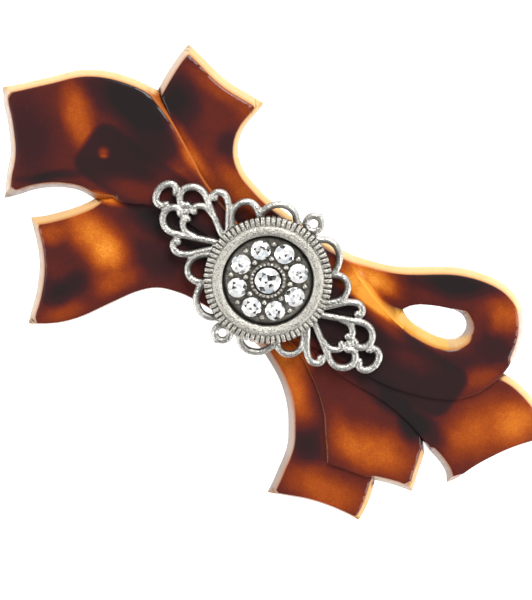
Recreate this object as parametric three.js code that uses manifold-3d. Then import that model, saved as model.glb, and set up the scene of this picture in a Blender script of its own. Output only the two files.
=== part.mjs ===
// A French-clip barrette: a moulded ribbon-bow plate carrying a stone-set medallion on an
// openwork scroll frame, on a spring clip with a hinged arm, a tension bow and a snap clasp.
// Millimetres. X runs along the clip, Y across it, Z out of the face.
import * as THREE from 'three';
import { mergeVertices } from 'three/addons/utils/BufferGeometryUtils.js';
import Module from 'manifold-3d';

const wasm = await Module();
wasm.setup();

// Driving sizes. Heights are above the plate's underside at the middle of the bow.
const arch = { radius: 180, stations: 28 }; // the bow, base bar and clasp follow this arc along X
const bow = {
  span: 120, // longer than any tail, so the arched slabs reach past every outline
  loopTop: 3.2,
  upperLeftTop: 3.0,
  rightTop: 2.6,
  topTailTop: 2.4,
  lowerLeftTop: 2.2,
  middleTop: 2.1,
  bottomTop: 1.6,
};
const peg = { radius: 1.1, headRadius: 1.6, headHeight: 0.4 };
const filigree = { wire: 0.42, plateThickness: 0.8, innerRadius: 4, outerRadius: 9.4, step: 1.6, turn: -4.3 };
const medallion = {
  radius: 10,
  toothDepth: 0.35,
  teeth: 72,
  toothedHeight: 2.0,
  ringOuter: 8.6,
  ringHeight: 0.5,
  panRadius: 7,
  panThickness: 1.55,
};
const centreStone = { radius: 2.05 };
const ringStone = { radius: 1.55, count: 8, pitch: 4.9, firstAngle: 3.5 };
const bead = { radius: 0.42, outerPitch: 5.85, innerPitch: 3.5 };
const bezel = { outer: 2.8, height: 0.45 };
const clip = {
  centreY: 0.6,
  hingeX: -32,
  pegX: 27,
  leftEnd: -35.4,
  rightEnd: 36,
  width: 9,
  thickness: 0.8,
};
const ear = { inside: 3.1, thickness: 0.6, halfLength: 2, depth: 4.2 };
const hinge = { drop: 2.4, pinRadius: 0.6, boreRadius: 0.68, knuckleRadius: 1.2 };
const pinHead = { radius: 0.9, height: 0.4, embed: 0.3 };
const bowSpring = {
  knuckleHalf: 1.1,
  width: 4.4,
  thickness: 0.45,
  crown: -6.9,
  end: 25,
  endGap: 0.35, // how far its free end stays above the arm when the clip is open
  shoulder: 8, // length of the curved part at each end
  prongLength: 6.4,
};
const arm = {
  width: 7,
  thickness: 0.7,
  underside: -9.2,
  prongInside: 1.3,
  prongOutside: 2.8,
  prongLength: 6,
  heelLength: 9, // from the hinge to where the strip lies level
  tip: 35.4,
};
const clasp = { x: 32, halfLength: 3.2, webHalfWidth: 3.1, webThickness: 0.5, tabThickness: 0.5 };
const catchWindow = { inside: 3.35, outside: 4.5, halfLength: 2.6, top: -6.7, thickness: 0.6, rise: 2 };
const rivet = { radius: 0.75, bore: 0.85, headRadius: 1.4, headHeight: 0.4, sunk: 0.35 };
const press = { halfLength: 2.3, barbHalfLength: 1.5, barb: 0.15, barbHeight: 0.6, wing: 2.6, wingThickness: 0.5 };
const touch = 0.05; // gap left between pieces that lie on each other
const fit = 0.1; // gap round what passes through or seats in another piece
const deep = -20; // a level below every piece, for cuts that go right through
const wide = 10; // a reach past both sides of the clip

const archDrop = (x) => arch.radius - Math.sqrt(arch.radius ** 2 - x ** 2);

// ---- solids ----------------------------------------------------------------------------

function toSolid(geometry) {
  const bare = geometry.index ? geometry.toNonIndexed() : geometry.clone();
  for (const name of Object.keys(bare.attributes)) {
    if (name !== 'position') bare.deleteAttribute(name);
  }
  const merged = mergeVertices(bare, 1e-4);
  return new wasm.Manifold(new wasm.Mesh({
    numProp: 3,
    vertProperties: new Float32Array(merged.attributes.position.array),
    triVerts: new Uint32Array(merged.index.array),
  }));
}

function toGeometry(solid) {
  const mesh = solid.getMesh();
  const geometry = new THREE.BufferGeometry();
  geometry.setAttribute('position', new THREE.BufferAttribute(mesh.vertProperties, 3));
  geometry.setIndex(new THREE.BufferAttribute(mesh.triVerts, 1));
  return geometry;
}

const join = (geometries) => geometries.map(toSolid).reduce((all, one) => all.add(one));

// An outline in plan, pushed up from one height to another.
function prism(shape, from, to, curveSegments = 4) {
  const geometry = new THREE.ExtrudeGeometry(shape, { depth: to - from, bevelEnabled: false, curveSegments });
  return geometry.translate(0, 0, from);
}

// A profile in X and Z, pushed across the width.
function crossProfile(shape, fromY, toY) {
  const geometry = new THREE.ExtrudeGeometry(shape, { depth: toY - fromY, bevelEnabled: false, curveSegments: 12 });
  return geometry.rotateX(Math.PI / 2).translate(0, toY, 0);
}

// A strip between two heights that follows the arc of the bow.
function archedStrip(fromX, toX, fromY, toY, bottom, top) {
  const step = (toX - fromX) / arch.stations;
  const profile = new THREE.Shape();
  profile.moveTo(fromX, bottom - archDrop(fromX));
  for (let i = 1; i <= arch.stations; i += 1) {
    const x = fromX + i * step;
    profile.lineTo(x, bottom - archDrop(x));
  }
  for (let i = arch.stations; i >= 0; i -= 1) {
    const x = fromX + i * step;
    profile.lineTo(x, top - archDrop(x));
  }
  return crossProfile(profile, fromY, toY);
}

// A closed outline of corners joined by sides, each side a smooth curve through its points.
function outline(start, sides) {
  const shape = new THREE.Shape();
  shape.moveTo(...start);
  for (const side of sides) {
    const points = side.map(([x, y]) => new THREE.Vector2(x, y));
    if (points.length === 1) shape.lineTo(points[0].x, points[0].y);
    else shape.splineThru(points);
  }
  return shape;
}

// A round bar across the width, from one Y to another.
function crossBar(radius, x, z, fromY, toY, sides = 20) {
  const geometry = new THREE.CylinderGeometry(radius, radius, toY - fromY, sides);
  return geometry.translate(x, (fromY + toY) / 2, z);
}

function upright(radius, x, y, from, to, sides = 20) {
  const geometry = new THREE.CylinderGeometry(radius, radius, to - from, sides);
  return geometry.rotateX(Math.PI / 2).translate(x, y, (from + to) / 2);
}

function box(fromX, toX, fromY, toY, fromZ, toZ) {
  const geometry = new THREE.BoxGeometry(toX - fromX, toY - fromY, toZ - fromZ);
  return geometry.translate((fromX + toX) / 2, (fromY + toY) / 2, (fromZ + toZ) / 2);
}

// ---- scene graph -----------------------------------------------------------------------

const finishes = {
  tortoise: { color: 0x6e2a14, roughness: 0.18, metalness: 0 },
  antiqueSilver: { color: 0xb4b1a6, roughness: 0.42, metalness: 1 },
  panSilver: { color: 0x8d897c, roughness: 0.5, metalness: 1 },
  crystal: { color: 0xe6ecf2, roughness: 0.05, metalness: 0.1 },
  clipSteel: { color: 0xb9bcc0, roughness: 0.3, metalness: 1 },
};

const barrette = new THREE.Group();

function addPiece(name, finish, geometry) {
  const mesh = new THREE.Mesh(geometry, new THREE.MeshStandardMaterial(finish));
  mesh.name = name;
  barrette.add(mesh);
}

// ---- the bow plate ---------------------------------------------------------------------

const ribbons = {
  upperLeft: {
    top: bow.upperLeftTop,
    shape: outline([-50.7, -0.6], [
      [[-47.5, -3.8], [-44.8, -6.7], [-42.4, -10.6], [-40.5, -14.5]],
      [[-38.4, -11.7], [-35.6, -8.6], [-32.4, -6.6], [-28.9, -6.1]],
      [[-25.2, -3.9], [-20.1, -1.2], [-12, -0.6], [-4, -2]],
      [[0, 3]],
      [[-8, 4.9], [-15.9, 7.3], [-22.3, 10.4], [-26.4, 12.3], [-30.7, 13.6]],
      [[-35.2, 12.7], [-40.1, 10.6], [-43.4, 7.8], [-47.2, 3.4], [-50.7, -0.6]],
    ]),
  },
  topTail: {
    top: bow.topTailTop,
    shape: outline([-30.9, 22.3], [
      [[-31, 19], [-30.7, 13.6]],
      [[-22, 8]],
      [[2, -2]],
      [[5, 9.8]],
      [[1.5, 9.6], [-4.4, 9.7], [-9.8, 10.4], [-13.5, 11.8], [-15.6, 14.1], [-16.4, 17.4], [-16.1, 21.7]],
      [[-20.3, 21.3], [-25, 21.4], [-30.9, 22.3]],
    ]),
  },
  loop: {
    top: bow.loopTop,
    shape: outline([-2, 9.6], [
      [[1.5, 9.6], [5, 9.7], [9.2, 10.2], [13.3, 11.5], [17.1, 13.4], [21.1, 16.2], [25.5, 18.6], [29.8, 19.8],
        [33.6, 19.5], [36.6, 17.9], [38.8, 14.9], [40, 11.2], [40, 7.6], [39.1, 4.6], [37.6, 1.9],
        [35.3, -0.2], [32.3, -1.7], [28.4, -3.1], [23.9, -4.1], [18, -4.6], [10, -6], [2, -9.8]],
      [[-4, -4]],
    ]),
    hole: outline([20.7, 7.5], [
      [[21.9, 9.3], [24.3, 10.9], [27, 12], [29.2, 12.1], [30.7, 10.9], [30.9, 9.2], [29.6, 7.7], [27, 6.8],
        [23.6, 6.5], [20.7, 7.5]],
    ]),
  },
  rightTail: {
    top: bow.rightTop,
    shape: outline([53.3, 4.6], [
      [[49.6, 0.1], [46.6, -4.5], [44.7, -8.8], [43.2, -11.7]],
      [[41.2, -9.8], [38, -8.9]],
      [[32.8, -7.2], [27.4, -6.4], [21.1, -6.7], [15, -6.4], [8, -5]],
      [[8, 2]],
      [[36, 3]],
      [[40.3, 8]],
      [[43.2, 7.9], [47.2, 6.9], [53.3, 4.6]],
    ]),
  },
  middleTail: {
    top: bow.middleTop,
    shape: outline([39.3, -16], [
      [[36.4, -16.6], [33.2, -17.8], [29, -18.8], [25.2, -19.8]],
      [[23.4, -17.4], [20.6, -14], [16.9, -10.8], [12.6, -8.2], [6, -6]],
      [[2, 0]],
      [[20, -1]],
      [[34, -6]],
      [[37.2, -9.6]],
      [[38.1, -12.6], [39.3, -16]],
    ]),
  },
  bottomTail: {
    top: bow.bottomTop,
    shape: outline([20.2, -28.8], [
      [[19.8, -26.4], [18.9, -22.3], [16.8, -18.4], [13.4, -14.3], [9.6, -11.6], [6, -10.1]],
      [[1, -9.6], [-4.4, -9.7]],
      [[-4, 0]],
      [[10, -2]],
      [[30, -12]],
      [[33.5, -18.1]],
      [[34.6, -21.4], [35, -24.5]],
      [[31, -25], [26.4, -26.2], [20.2, -28.8]],
    ]),
  },
  lowerLeft: {
    top: bow.lowerLeftTop,
    shape: outline([-35.4, -14.5], [
      [[-31.8, -17.8], [-29.2, -21], [-27.6, -24.5], [-26.2, -28.4]],
      [[-22.8, -26], [-20, -22.6], [-17.4, -18], [-15.2, -14], [-12.6, -11.5], [-8.2, -10], [-1, -9.6]],
      [[0, 2]],
      [[-22, 2]],
      [[-28.9, -6.1]],
      [[-30.4, -8.8], [-32.8, -11.8], [-35.4, -14.5]],
    ]),
  },
};

function ribbonSolid({ top, shape }) {
  const block = toSolid(prism(shape, deep, top + 1, 2));
  const slab = toSolid(archedStrip(-bow.span / 2, bow.span / 2, -bow.span / 2, bow.span / 2, 0, top));
  return block.intersect(slab);
}

function bowPlate() {
  let plate = Object.values(ribbons).map(ribbonSolid).reduce((all, one) => all.add(one));
  plate = plate.subtract(toSolid(prism(ribbons.loop.hole, deep, ribbons.loop.top + 1, 2)));
  for (const x of [clip.hingeX, clip.pegX]) {
    const headTop = -touch - clip.thickness - touch - archDrop(Math.abs(x) + peg.headRadius);
    plate = plate.add(toSolid(upright(peg.radius, x, clip.centreY, headTop - touch, 1 - archDrop(x))));
    plate = plate.add(toSolid(upright(peg.headRadius, x, clip.centreY, headTop - peg.headHeight, headTop)));
  }
  return toGeometry(plate);
}

addPiece('bow_plate', finishes.tortoise, bowPlate());

// ---- the openwork scroll frame ---------------------------------------------------------

const plateTop = Math.max(...Object.values(ribbons).map(({ top }) => top));
const frameBottom = plateTop + touch;
const cupBottom = frameBottom + 2 * filigree.wire + touch;

// One quarter of the frame. The rest are mirror images across both centre lines.
const scrolls = [
  [[-16.9, 1.3], [-18.2, 1.1], [-19, 1.8], [-19.1, 3], [-18.3, 4.1], [-17.1, 4.5], [-16, 4.1], [-14.3, 3.3],
    [-12.2, 2.3], [-9, 1]],
  [[-15.4, 1.2], [-16, 1.6], [-15.8, 2.4], [-14.6, 2.8], [-13.2, 2.6]],
  [[-14.7, 4.9], [-14.5, 6.1], [-13.6, 6.5], [-12.5, 5.9], [-11.1, 4.4], [-9, 2.4]],
  [[-9.4, 2.6], [-10.7, 4], [-11, 5.5], [-10.9, 6.9], [-10.3, 7.9], [-9.3, 8.2], [-8.1, 7.6], [-7, 6.2]],
  [[-7.6, 6.4], [-7.7, 8.2], [-7, 9.9], [-5.9, 10.9], [-4.6, 11.1], [-3.1, 10.4], [-2.2, 9]],
];
const tipScroll = [[-19.9, 1.3], [-20.6, 2.1], [-21.6, 1.6], [-22, 0]];
const bulbs = [
  { radius: 0.62, x: -16.9, y: 1.3 },
  { radius: 0.62, x: -15.4, y: 1.2 },
  { radius: 0.62, x: -19.9, y: 1.3 },
  { radius: 0.62, x: -14.7, y: 4.9 },
  { radius: 0.5, x: -15.8, y: 0.7 },
  { radius: 0.5, x: -17.6, y: 0.6 },
  { radius: 0.65, x: -18.9, y: 1.1 },
];
const knot = { radius: 0.8, x: -16.4, y: 0 };
const pip = { radius: 0.5, x: 0, y: 12.7 };
const eyeWeb = { radius: 0.95, x: 1.7, y: 9.9 };

function wire(points, mirrorX, mirrorY, closed = false) {
  const route = new THREE.CatmullRomCurve3(points.map(([x, y]) => new THREE.Vector3(
    x * mirrorX,
    y * mirrorY,
    frameBottom + filigree.wire - archDrop(x),
  )), closed);
  const half = filigree.wire;
  const section = new THREE.Shape([[-half, -half], [half, -half], [half, half], [-half, half]]
    .map(([x, y]) => new THREE.Vector2(x, y)));
  const steps = Math.max(8, Math.round(route.getLength() / filigree.step));
  return new THREE.ExtrudeGeometry(section, { extrudePath: route, steps, bevelEnabled: false });
}

function washer(inner, outer, from, to, segments = 40) {
  const profile = [[inner, from], [outer, from], [outer, to], [inner, to], [inner, from]];
  const geometry = new THREE.LatheGeometry(profile.map(([r, z]) => new THREE.Vector2(r, z)), segments);
  return geometry.rotateX(Math.PI / 2);
}

function ball(radius, x, y, z) {
  return new THREE.SphereGeometry(radius, 6, 4).rotateX(Math.PI / 2).translate(x, y, z);
}

function scrollFrame() {
  const webTop = frameBottom + filigree.plateThickness;
  const parts = [washer(filigree.innerRadius, filigree.outerRadius, frameBottom, webTop)];
  const bulb = ({ radius, x, y }, mirrorX, mirrorY) => {
    return ball(radius, x * mirrorX, y * mirrorY, frameBottom + radius - archDrop(x));
  };
  for (const mirrorX of [1, -1]) {
    for (const mirrorY of [1, -1]) {
      for (const points of scrolls) parts.push(wire(points, mirrorX, mirrorY));
      for (const place of bulbs) parts.push(bulb(place, mirrorX, mirrorY));
      parts.push(upright(eyeWeb.radius, eyeWeb.x * mirrorX, eyeWeb.y * mirrorY, frameBottom, webTop, 12));
    }
    const mirrored = tipScroll.slice(0, -1).reverse().map(([x, y]) => [x, -y]);
    parts.push(wire([...tipScroll, ...mirrored], mirrorX, 1));
    parts.push(bulb(knot, mirrorX, 1));
  }
  const eye = Array.from({ length: 8 }, (_, i) => {
    const angle = (i * Math.PI) / 4;
    return [1.15 * Math.cos(angle), 11.2 + 1.15 * Math.sin(angle)];
  });
  for (const mirrorY of [1, -1]) {
    parts.push(wire(eye, 1, mirrorY, true));
    parts.push(bulb(pip, 1, mirrorY));
  }
  return toGeometry(join(parts)).rotateZ(THREE.MathUtils.degToRad(filigree.turn));
}

addPiece('filigree_frame', finishes.antiqueSilver, scrollFrame());

// ---- the medallion ---------------------------------------------------------------------

function milledRim() {
  const edge = new THREE.Shape();
  const step = (2 * Math.PI) / medallion.teeth;
  const at = (radius, angle) => [radius * Math.cos(angle), radius * Math.sin(angle)];
  edge.moveTo(...at(medallion.radius, 0));
  for (let i = 0; i < medallion.teeth; i += 1) {
    edge.lineTo(...at(medallion.radius, (i + 0.5) * step));
    edge.lineTo(...at(medallion.radius - medallion.toothDepth, (i + 0.75) * step));
    if (i < medallion.teeth - 1) edge.lineTo(...at(medallion.radius, (i + 1) * step));
  }
  edge.closePath();
  const bore = new THREE.Path();
  bore.absarc(0, 0, medallion.panRadius + fit, 0, 2 * Math.PI);
  edge.holes.push(bore);
  const toothed = prism(edge, cupBottom, cupBottom + medallion.toothedHeight, 24);
  const top = cupBottom + medallion.toothedHeight;
  const smooth = washer(medallion.panRadius + fit, medallion.ringOuter, top - 0.5, top + medallion.ringHeight, 48);
  return toGeometry(join([toothed, smooth]));
}

addPiece('milled_rim', finishes.antiqueSilver, milledRim());

const panTop = cupBottom + medallion.panThickness;

// A cut stone: flat table, sloping crown, thin girdle and a pointed back.
function stoneProfile(radius, grow) {
  const wide = radius + grow;
  return [
    [0, panTop - 0.62 * wide],
    [wide, panTop],
    [wide, panTop + 0.1 * radius],
    [0.58 * wide, panTop + 0.36 * radius],
    [0, panTop + 0.36 * radius],
  ].map(([r, z]) => new THREE.Vector2(r, z));
}

function stone(radius, x, y, grow = 0, sides = 16) {
  return new THREE.LatheGeometry(stoneProfile(radius, grow), sides).rotateX(Math.PI / 2).translate(x, y, 0);
}

const ringPlaces = Array.from({ length: ringStone.count }, (_, i) => {
  const angle = THREE.MathUtils.degToRad(ringStone.firstAngle) + (i * 2 * Math.PI) / ringStone.count;
  return { angle, x: ringStone.pitch * Math.cos(angle), y: ringStone.pitch * Math.sin(angle) };
});

function stonePan() {
  const parts = [
    washer(0.3, medallion.panRadius, cupBottom, panTop, 48),
    washer(centreStone.radius + fit, bezel.outer, panTop - 0.3, panTop + bezel.height, 32),
  ];
  for (const { angle } of ringPlaces) {
    const between = angle + Math.PI / ringStone.count;
    for (const pitch of [bead.outerPitch, bead.innerPitch]) {
      parts.push(ball(bead.radius, pitch * Math.cos(between), pitch * Math.sin(between), panTop + 0.1));
    }
  }
  let pan = join(parts);
  pan = pan.subtract(toSolid(stone(centreStone.radius, 0, 0, fit)));
  for (const { x, y } of ringPlaces) pan = pan.subtract(toSolid(stone(ringStone.radius, x, y, fit)));
  return toGeometry(pan);
}

addPiece('stone_pan', finishes.panSilver, stonePan());
addPiece('centre_stone', finishes.crystal, stone(centreStone.radius, 0, 0));
ringPlaces.forEach(({ x, y }, i) => {
  addPiece(`ring_stone_${i + 1}`, finishes.crystal, stone(ringStone.radius, x, y));
});

// ---- the spring clip -------------------------------------------------------------------

const baseTop = -touch;
const baseUnder = baseTop - clip.thickness;
const across = (y) => clip.centreY + y;
const hingeZ = baseUnder - archDrop(clip.hingeX) - hinge.drop;

function baseBar() {
  const half = clip.width / 2;
  let bar = toSolid(archedStrip(clip.leftEnd, clip.rightEnd, across(-half), across(half), baseUnder, baseTop));
  const earTop = baseUnder - archDrop(clip.hingeX) + 0.3;
  for (const side of [1, -1]) {
    const near = across(side * ear.inside);
    const far = across(side * (ear.inside + ear.thickness));
    const earBlock = box(
      clip.hingeX - ear.halfLength,
      clip.hingeX + ear.halfLength,
      Math.min(near, far),
      Math.max(near, far),
      earTop - ear.depth,
      earTop,
    );
    bar = bar.add(toSolid(earBlock));
  }
  bar = bar.subtract(toSolid(crossBar(hinge.boreRadius, clip.hingeX, hingeZ, across(-half), across(half))));
  for (const x of [clip.hingeX, clip.pegX]) {
    bar = bar.subtract(toSolid(upright(peg.radius + fit, x, clip.centreY, deep, 1)));
  }
  bar = bar.subtract(toSolid(upright(rivet.bore, clasp.x, clip.centreY, deep, 1)));
  return toGeometry(bar);
}

addPiece('base_bar', finishes.clipSteel, baseBar());

function hingePin() {
  const end = ear.inside + ear.thickness;
  const headFrom = end + touch;
  const reach = headFrom + pinHead.embed;
  return toGeometry(join([
    crossBar(hinge.pinRadius, clip.hingeX, hingeZ, across(-reach), across(reach)),
    crossBar(pinHead.radius, clip.hingeX, hingeZ, across(headFrom), across(headFrom + pinHead.height)),
    crossBar(pinHead.radius, clip.hingeX, hingeZ, across(-headFrom - pinHead.height), across(-headFrom)),
  ]));
}

addPiece('hinge_pin', finishes.clipSteel, hingePin());

// What is cut away beyond a distance from the centre line, on one flank.
function flankCut(flank, fromX, toX, inner) {
  const near = across(flank * inner);
  const far = across(flank * wide);
  return toSolid(box(fromX, toX, Math.min(near, far), Math.max(near, far), deep, 0));
}

// What is cut away in the middle, right through.
function throughCut(fromX, toX, half) {
  return toSolid(box(fromX, toX, across(-half), across(half), deep, 0));
}

// The arm: two knuckles on the pin, two prongs, a flat strip, and a window that snaps over the clasp.
function swingArm() {
  const top = arm.underside + arm.thickness;
  const heel = hingeZ - hinge.knuckleRadius;
  const level = clip.hingeX + arm.heelLength;
  const riseFrom = clasp.x - clasp.halfLength - 2.6;
  const head = catchWindow.top - catchWindow.thickness;
  const side = new THREE.Shape();
  side.moveTo(clip.hingeX, heel);
  side.lineTo(level, arm.underside);
  side.lineTo(riseFrom + 0.2, arm.underside);
  side.lineTo(riseFrom + 0.2 + catchWindow.rise, head);
  side.lineTo(arm.tip, head);
  side.lineTo(arm.tip, catchWindow.top);
  side.lineTo(riseFrom - 0.2 + catchWindow.rise, catchWindow.top);
  side.lineTo(riseFrom - 0.2, top);
  side.lineTo(level, top);
  side.lineTo(clip.hingeX, heel + arm.thickness);
  side.closePath();
  let strip = toSolid(crossProfile(side, across(-catchWindow.outside), across(catchWindow.outside)));
  const prongEnd = clip.hingeX + arm.prongLength;
  for (const flank of [1, -1]) {
    strip = strip.subtract(flankCut(flank, clip.hingeX - arm.heelLength, prongEnd, arm.prongOutside));
    strip = strip.subtract(flankCut(flank, prongEnd - fit, riseFrom - 0.2, arm.width / 2));
  }
  strip = strip.subtract(throughCut(clip.hingeX - arm.heelLength, prongEnd, arm.prongInside));
  const { halfLength } = catchWindow;
  strip = strip.subtract(throughCut(clasp.x - halfLength, clasp.x + halfLength, catchWindow.inside));
  for (const flank of [1, -1]) {
    const near = across(flank * arm.prongInside);
    const far = across(flank * arm.prongOutside);
    const knuckle = crossBar(hinge.knuckleRadius, clip.hingeX, hingeZ, Math.min(near, far), Math.max(near, far));
    strip = strip.add(toSolid(knuckle));
  }
  return toGeometry(strip.subtract(toSolid(crossBar(hinge.boreRadius, clip.hingeX, hingeZ, -wide, wide))));
}

addPiece('swing_arm', finishes.clipSteel, swingArm());

// The tension bow: a springy strip that arches up between the arm and the base bar.
function tensionBow() {
  const from = new THREE.Vector2(clip.hingeX, hingeZ - hinge.knuckleRadius + bowSpring.thickness);
  const endLift = bowSpring.endGap + bowSpring.thickness;
  const end = new THREE.Vector2(bowSpring.end, arm.underside + arm.thickness + endLift);
  const crown = new THREE.Vector2((from.x + end.x) / 2, bowSpring.crown);
  const curve = new THREE.SplineCurve([
    from,
    new THREE.Vector2(from.x + bowSpring.shoulder, (from.y + crown.y) / 2 - 0.15),
    crown,
    new THREE.Vector2(end.x - bowSpring.shoulder, (end.y + crown.y) / 2 + 0.2),
    end,
  ]);
  const line = curve.getPoints(24);
  const side = new THREE.Shape(line);
  for (const point of [...line].reverse()) side.lineTo(point.x, point.y - bowSpring.thickness);
  side.closePath();
  const half = bowSpring.width / 2;
  let strip = toSolid(crossProfile(side, across(-half), across(half)));
  for (const flank of [1, -1]) {
    const to = clip.hingeX + bowSpring.prongLength;
    strip = strip.subtract(flankCut(flank, clip.hingeX - bowSpring.prongLength, to, bowSpring.knuckleHalf));
  }
  const reach = bowSpring.knuckleHalf;
  strip = strip.add(toSolid(crossBar(hinge.knuckleRadius, clip.hingeX, hingeZ, across(-reach), across(reach))));
  return toGeometry(strip.subtract(toSolid(crossBar(hinge.boreRadius, clip.hingeX, hingeZ, -wide, wide))));
}

addPiece('tension_bow', finishes.clipSteel, tensionBow());

// The clasp: a web riveted under the base bar, with a press tab at each side.
const webTop = baseUnder - touch;
const webUnder = webTop - clasp.webThickness;

function claspWeb() {
  const web = toSolid(archedStrip(
    clasp.x - clasp.halfLength,
    clasp.x + clasp.halfLength,
    across(-clasp.webHalfWidth),
    across(clasp.webHalfWidth),
    webUnder,
    webTop,
  ));
  return toGeometry(web.subtract(toSolid(upright(rivet.bore, clasp.x, clip.centreY, deep, 1))));
}

addPiece('clasp_web', finishes.clipSteel, claspWeb());

function claspRivet() {
  const drop = archDrop(clasp.x - rivet.headRadius);
  const lowest = webUnder - archDrop(clasp.x + rivet.headRadius) - touch;
  return toGeometry(join([
    upright(rivet.radius, clasp.x, clip.centreY, lowest - fit, baseTop - drop - rivet.sunk),
    upright(rivet.headRadius, clasp.x, clip.centreY, lowest - rivet.headHeight, lowest),
  ]));
}

addPiece('clasp_rivet', finishes.clipSteel, claspRivet());

const tab = {
  top: webUnder - archDrop(clasp.x + clasp.halfLength) - 0.15,
  inside: clasp.webHalfWidth - clasp.tabThickness,
  barbBottom: catchWindow.top - catchWindow.thickness - 0.75,
  wingTop: catchWindow.top + 1.1,
};

// A press tab: a thin leg through the arm's window, a barb under the window's rail, and a finger wing.
function pressTab(side) {
  const sideBox = (half, reach, bottom, top) => {
    const near = across(side * tab.inside);
    const far = across(side * reach);
    return box(clasp.x - half, clasp.x + half, Math.min(near, far), Math.max(near, far), bottom, top);
  };
  const outer = clasp.webHalfWidth;
  return toGeometry(join([
    sideBox(press.halfLength, outer, tab.barbBottom, tab.top),
    sideBox(press.barbHalfLength, outer + press.barb, tab.barbBottom, tab.barbBottom + press.barbHeight),
    sideBox(press.halfLength, outer + press.wing, tab.wingTop - press.wingThickness, tab.wingTop),
  ]));
}

addPiece('press_tab_left', finishes.clipSteel, pressTab(1));
addPiece('press_tab_right', finishes.clipSteel, pressTab(-1));

// The origin is the middle of the whole object's footprint, at its lowest point.
const bounds = new THREE.Box3().setFromObject(barrette);
const middle = bounds.getCenter(new THREE.Vector3());
barrette.position.set(-middle.x, -middle.y, -bounds.min.z);

export default barrette;
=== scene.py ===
import math
import random

import bmesh
import bpy
from mathutils import Matrix, Vector
from mathutils.bvhtree import BVHTree


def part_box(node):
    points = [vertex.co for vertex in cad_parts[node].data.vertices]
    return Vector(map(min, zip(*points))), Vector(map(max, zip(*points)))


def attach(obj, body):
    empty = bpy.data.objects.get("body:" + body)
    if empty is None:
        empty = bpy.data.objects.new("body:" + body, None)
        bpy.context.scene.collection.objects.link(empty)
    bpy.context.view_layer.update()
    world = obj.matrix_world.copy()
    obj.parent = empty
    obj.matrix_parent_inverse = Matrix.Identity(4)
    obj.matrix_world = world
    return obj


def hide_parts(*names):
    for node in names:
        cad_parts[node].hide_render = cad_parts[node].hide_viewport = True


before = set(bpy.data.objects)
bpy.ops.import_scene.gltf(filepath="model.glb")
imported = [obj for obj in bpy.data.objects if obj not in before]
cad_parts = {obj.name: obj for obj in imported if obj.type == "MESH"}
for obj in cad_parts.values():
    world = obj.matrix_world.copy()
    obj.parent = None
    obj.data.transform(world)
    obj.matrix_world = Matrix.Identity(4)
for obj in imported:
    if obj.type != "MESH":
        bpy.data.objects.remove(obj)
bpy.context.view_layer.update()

mm = 0.001

# where things are, read from the frame
rimLow, rimHigh = [Vector(corner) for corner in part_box("milled_rim")]
plateLow, plateHigh = [Vector(corner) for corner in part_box("bow_plate")]
crownThickness = 3.2  # mm, the thickest ribbon
home = Vector((
    (rimLow.x + rimHigh.x) / 2,
    (rimLow.y + rimHigh.y) / 2,
    plateHigh.z - crownThickness * mm,
))  # the middle of the bow, on the plate's underside
archRadius = 180  # mm
clipMiddle = 0.6  # mm across, from the medallion's middle to the clip's centre line


def archDrop(x):
    return archRadius - math.sqrt(archRadius ** 2 - x ** 2)


# shader expressions
class Wire:
    def __init__(self, tree, socket=None):
        self.tree = tree
        self.socket = socket

    def node(self, kind, inputs=None, out=0, stops=None, **settings):
        made = self.tree.nodes.new(kind)
        for name, value in settings.items():
            setattr(made, name, value)
        if stops:
            ramp = made.color_ramp
            while len(ramp.elements) < len(stops):
                ramp.elements.new(0.5)
            for element, (place, colour) in zip(ramp.elements, stops):
                element.position = place
                element.color = (*colour, 1)
        for key, value in (inputs or {}).items():
            if isinstance(value, Wire):
                self.tree.links.new(value.socket, made.inputs[key])
            else:
                made.inputs[key].default_value = value
        return Wire(self.tree, made.outputs[out] if made.outputs else None)

    def maths(self, operation, first, second):
        return self.node("ShaderNodeMath", {0: first, 1: second}, operation=operation)

    def __add__(self, other):
        return self.maths("ADD", self, other)

    def __radd__(self, other):
        return self.maths("ADD", other, self)

    def __sub__(self, other):
        return self.maths("SUBTRACT", self, other)

    def __rsub__(self, other):
        return self.maths("SUBTRACT", other, self)

    def __mul__(self, other):
        return self.maths("MULTIPLY", self, other)

    def __rmul__(self, other):
        return self.maths("MULTIPLY", other, self)

    def clamped(self):
        return self.node("ShaderNodeClamp", {0: self})

    def ramp(self, stops):
        return self.node("ShaderNodeValToRGB", {0: self}, stops=stops)

    def spread(self, low, high, toLow=0.0, toHigh=1.0):
        # a soft step from one value to another
        ends = {"From Min": low, "From Max": high, "To Min": toLow, "To Max": toHigh}
        return self.node("ShaderNodeMapRange", {"Value": self, **ends}, interpolation_type="SMOOTHSTEP")


def mixColour(wire, share, first, second):
    sockets = {0: share, 6: asColour(first), 7: asColour(second)}
    return wire.node("ShaderNodeMix", sockets, out=2, data_type="RGBA")


def asColour(value):
    return value if isinstance(value, Wire) else (*value, 1)


def makeMaterial(name, recipe):
    material = bpy.data.materials.new(name)
    material.use_nodes = True
    tree = material.node_tree
    tree.nodes.clear()
    surface = Wire(tree).node("ShaderNodeBsdfPrincipled", recipe(Wire(tree)))
    Wire(tree).node("ShaderNodeOutputMaterial", {"Surface": surface})
    return material


def onObject(wire):
    # Object coordinates, in mm from the middle of the bow
    coords = wire.node("ShaderNodeTexCoord", out=3)
    scale = 1 / mm
    sockets = {"Vector": coords, "Location": -home * scale, "Scale": (scale, scale, scale)}
    return wire.node("ShaderNodeMapping", sockets)


def flattened(wire, coords):
    return wire.node("ShaderNodeVectorMath", {0: coords, 1: (1, 1, 0)}, operation="MULTIPLY")


def noise(wire, coords, scale, detail=2.0, out=0):
    sockets = {"Vector": coords, "Scale": scale, "Detail": detail}
    return wire.node("ShaderNodeTexNoise", sockets, out=out)


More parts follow.
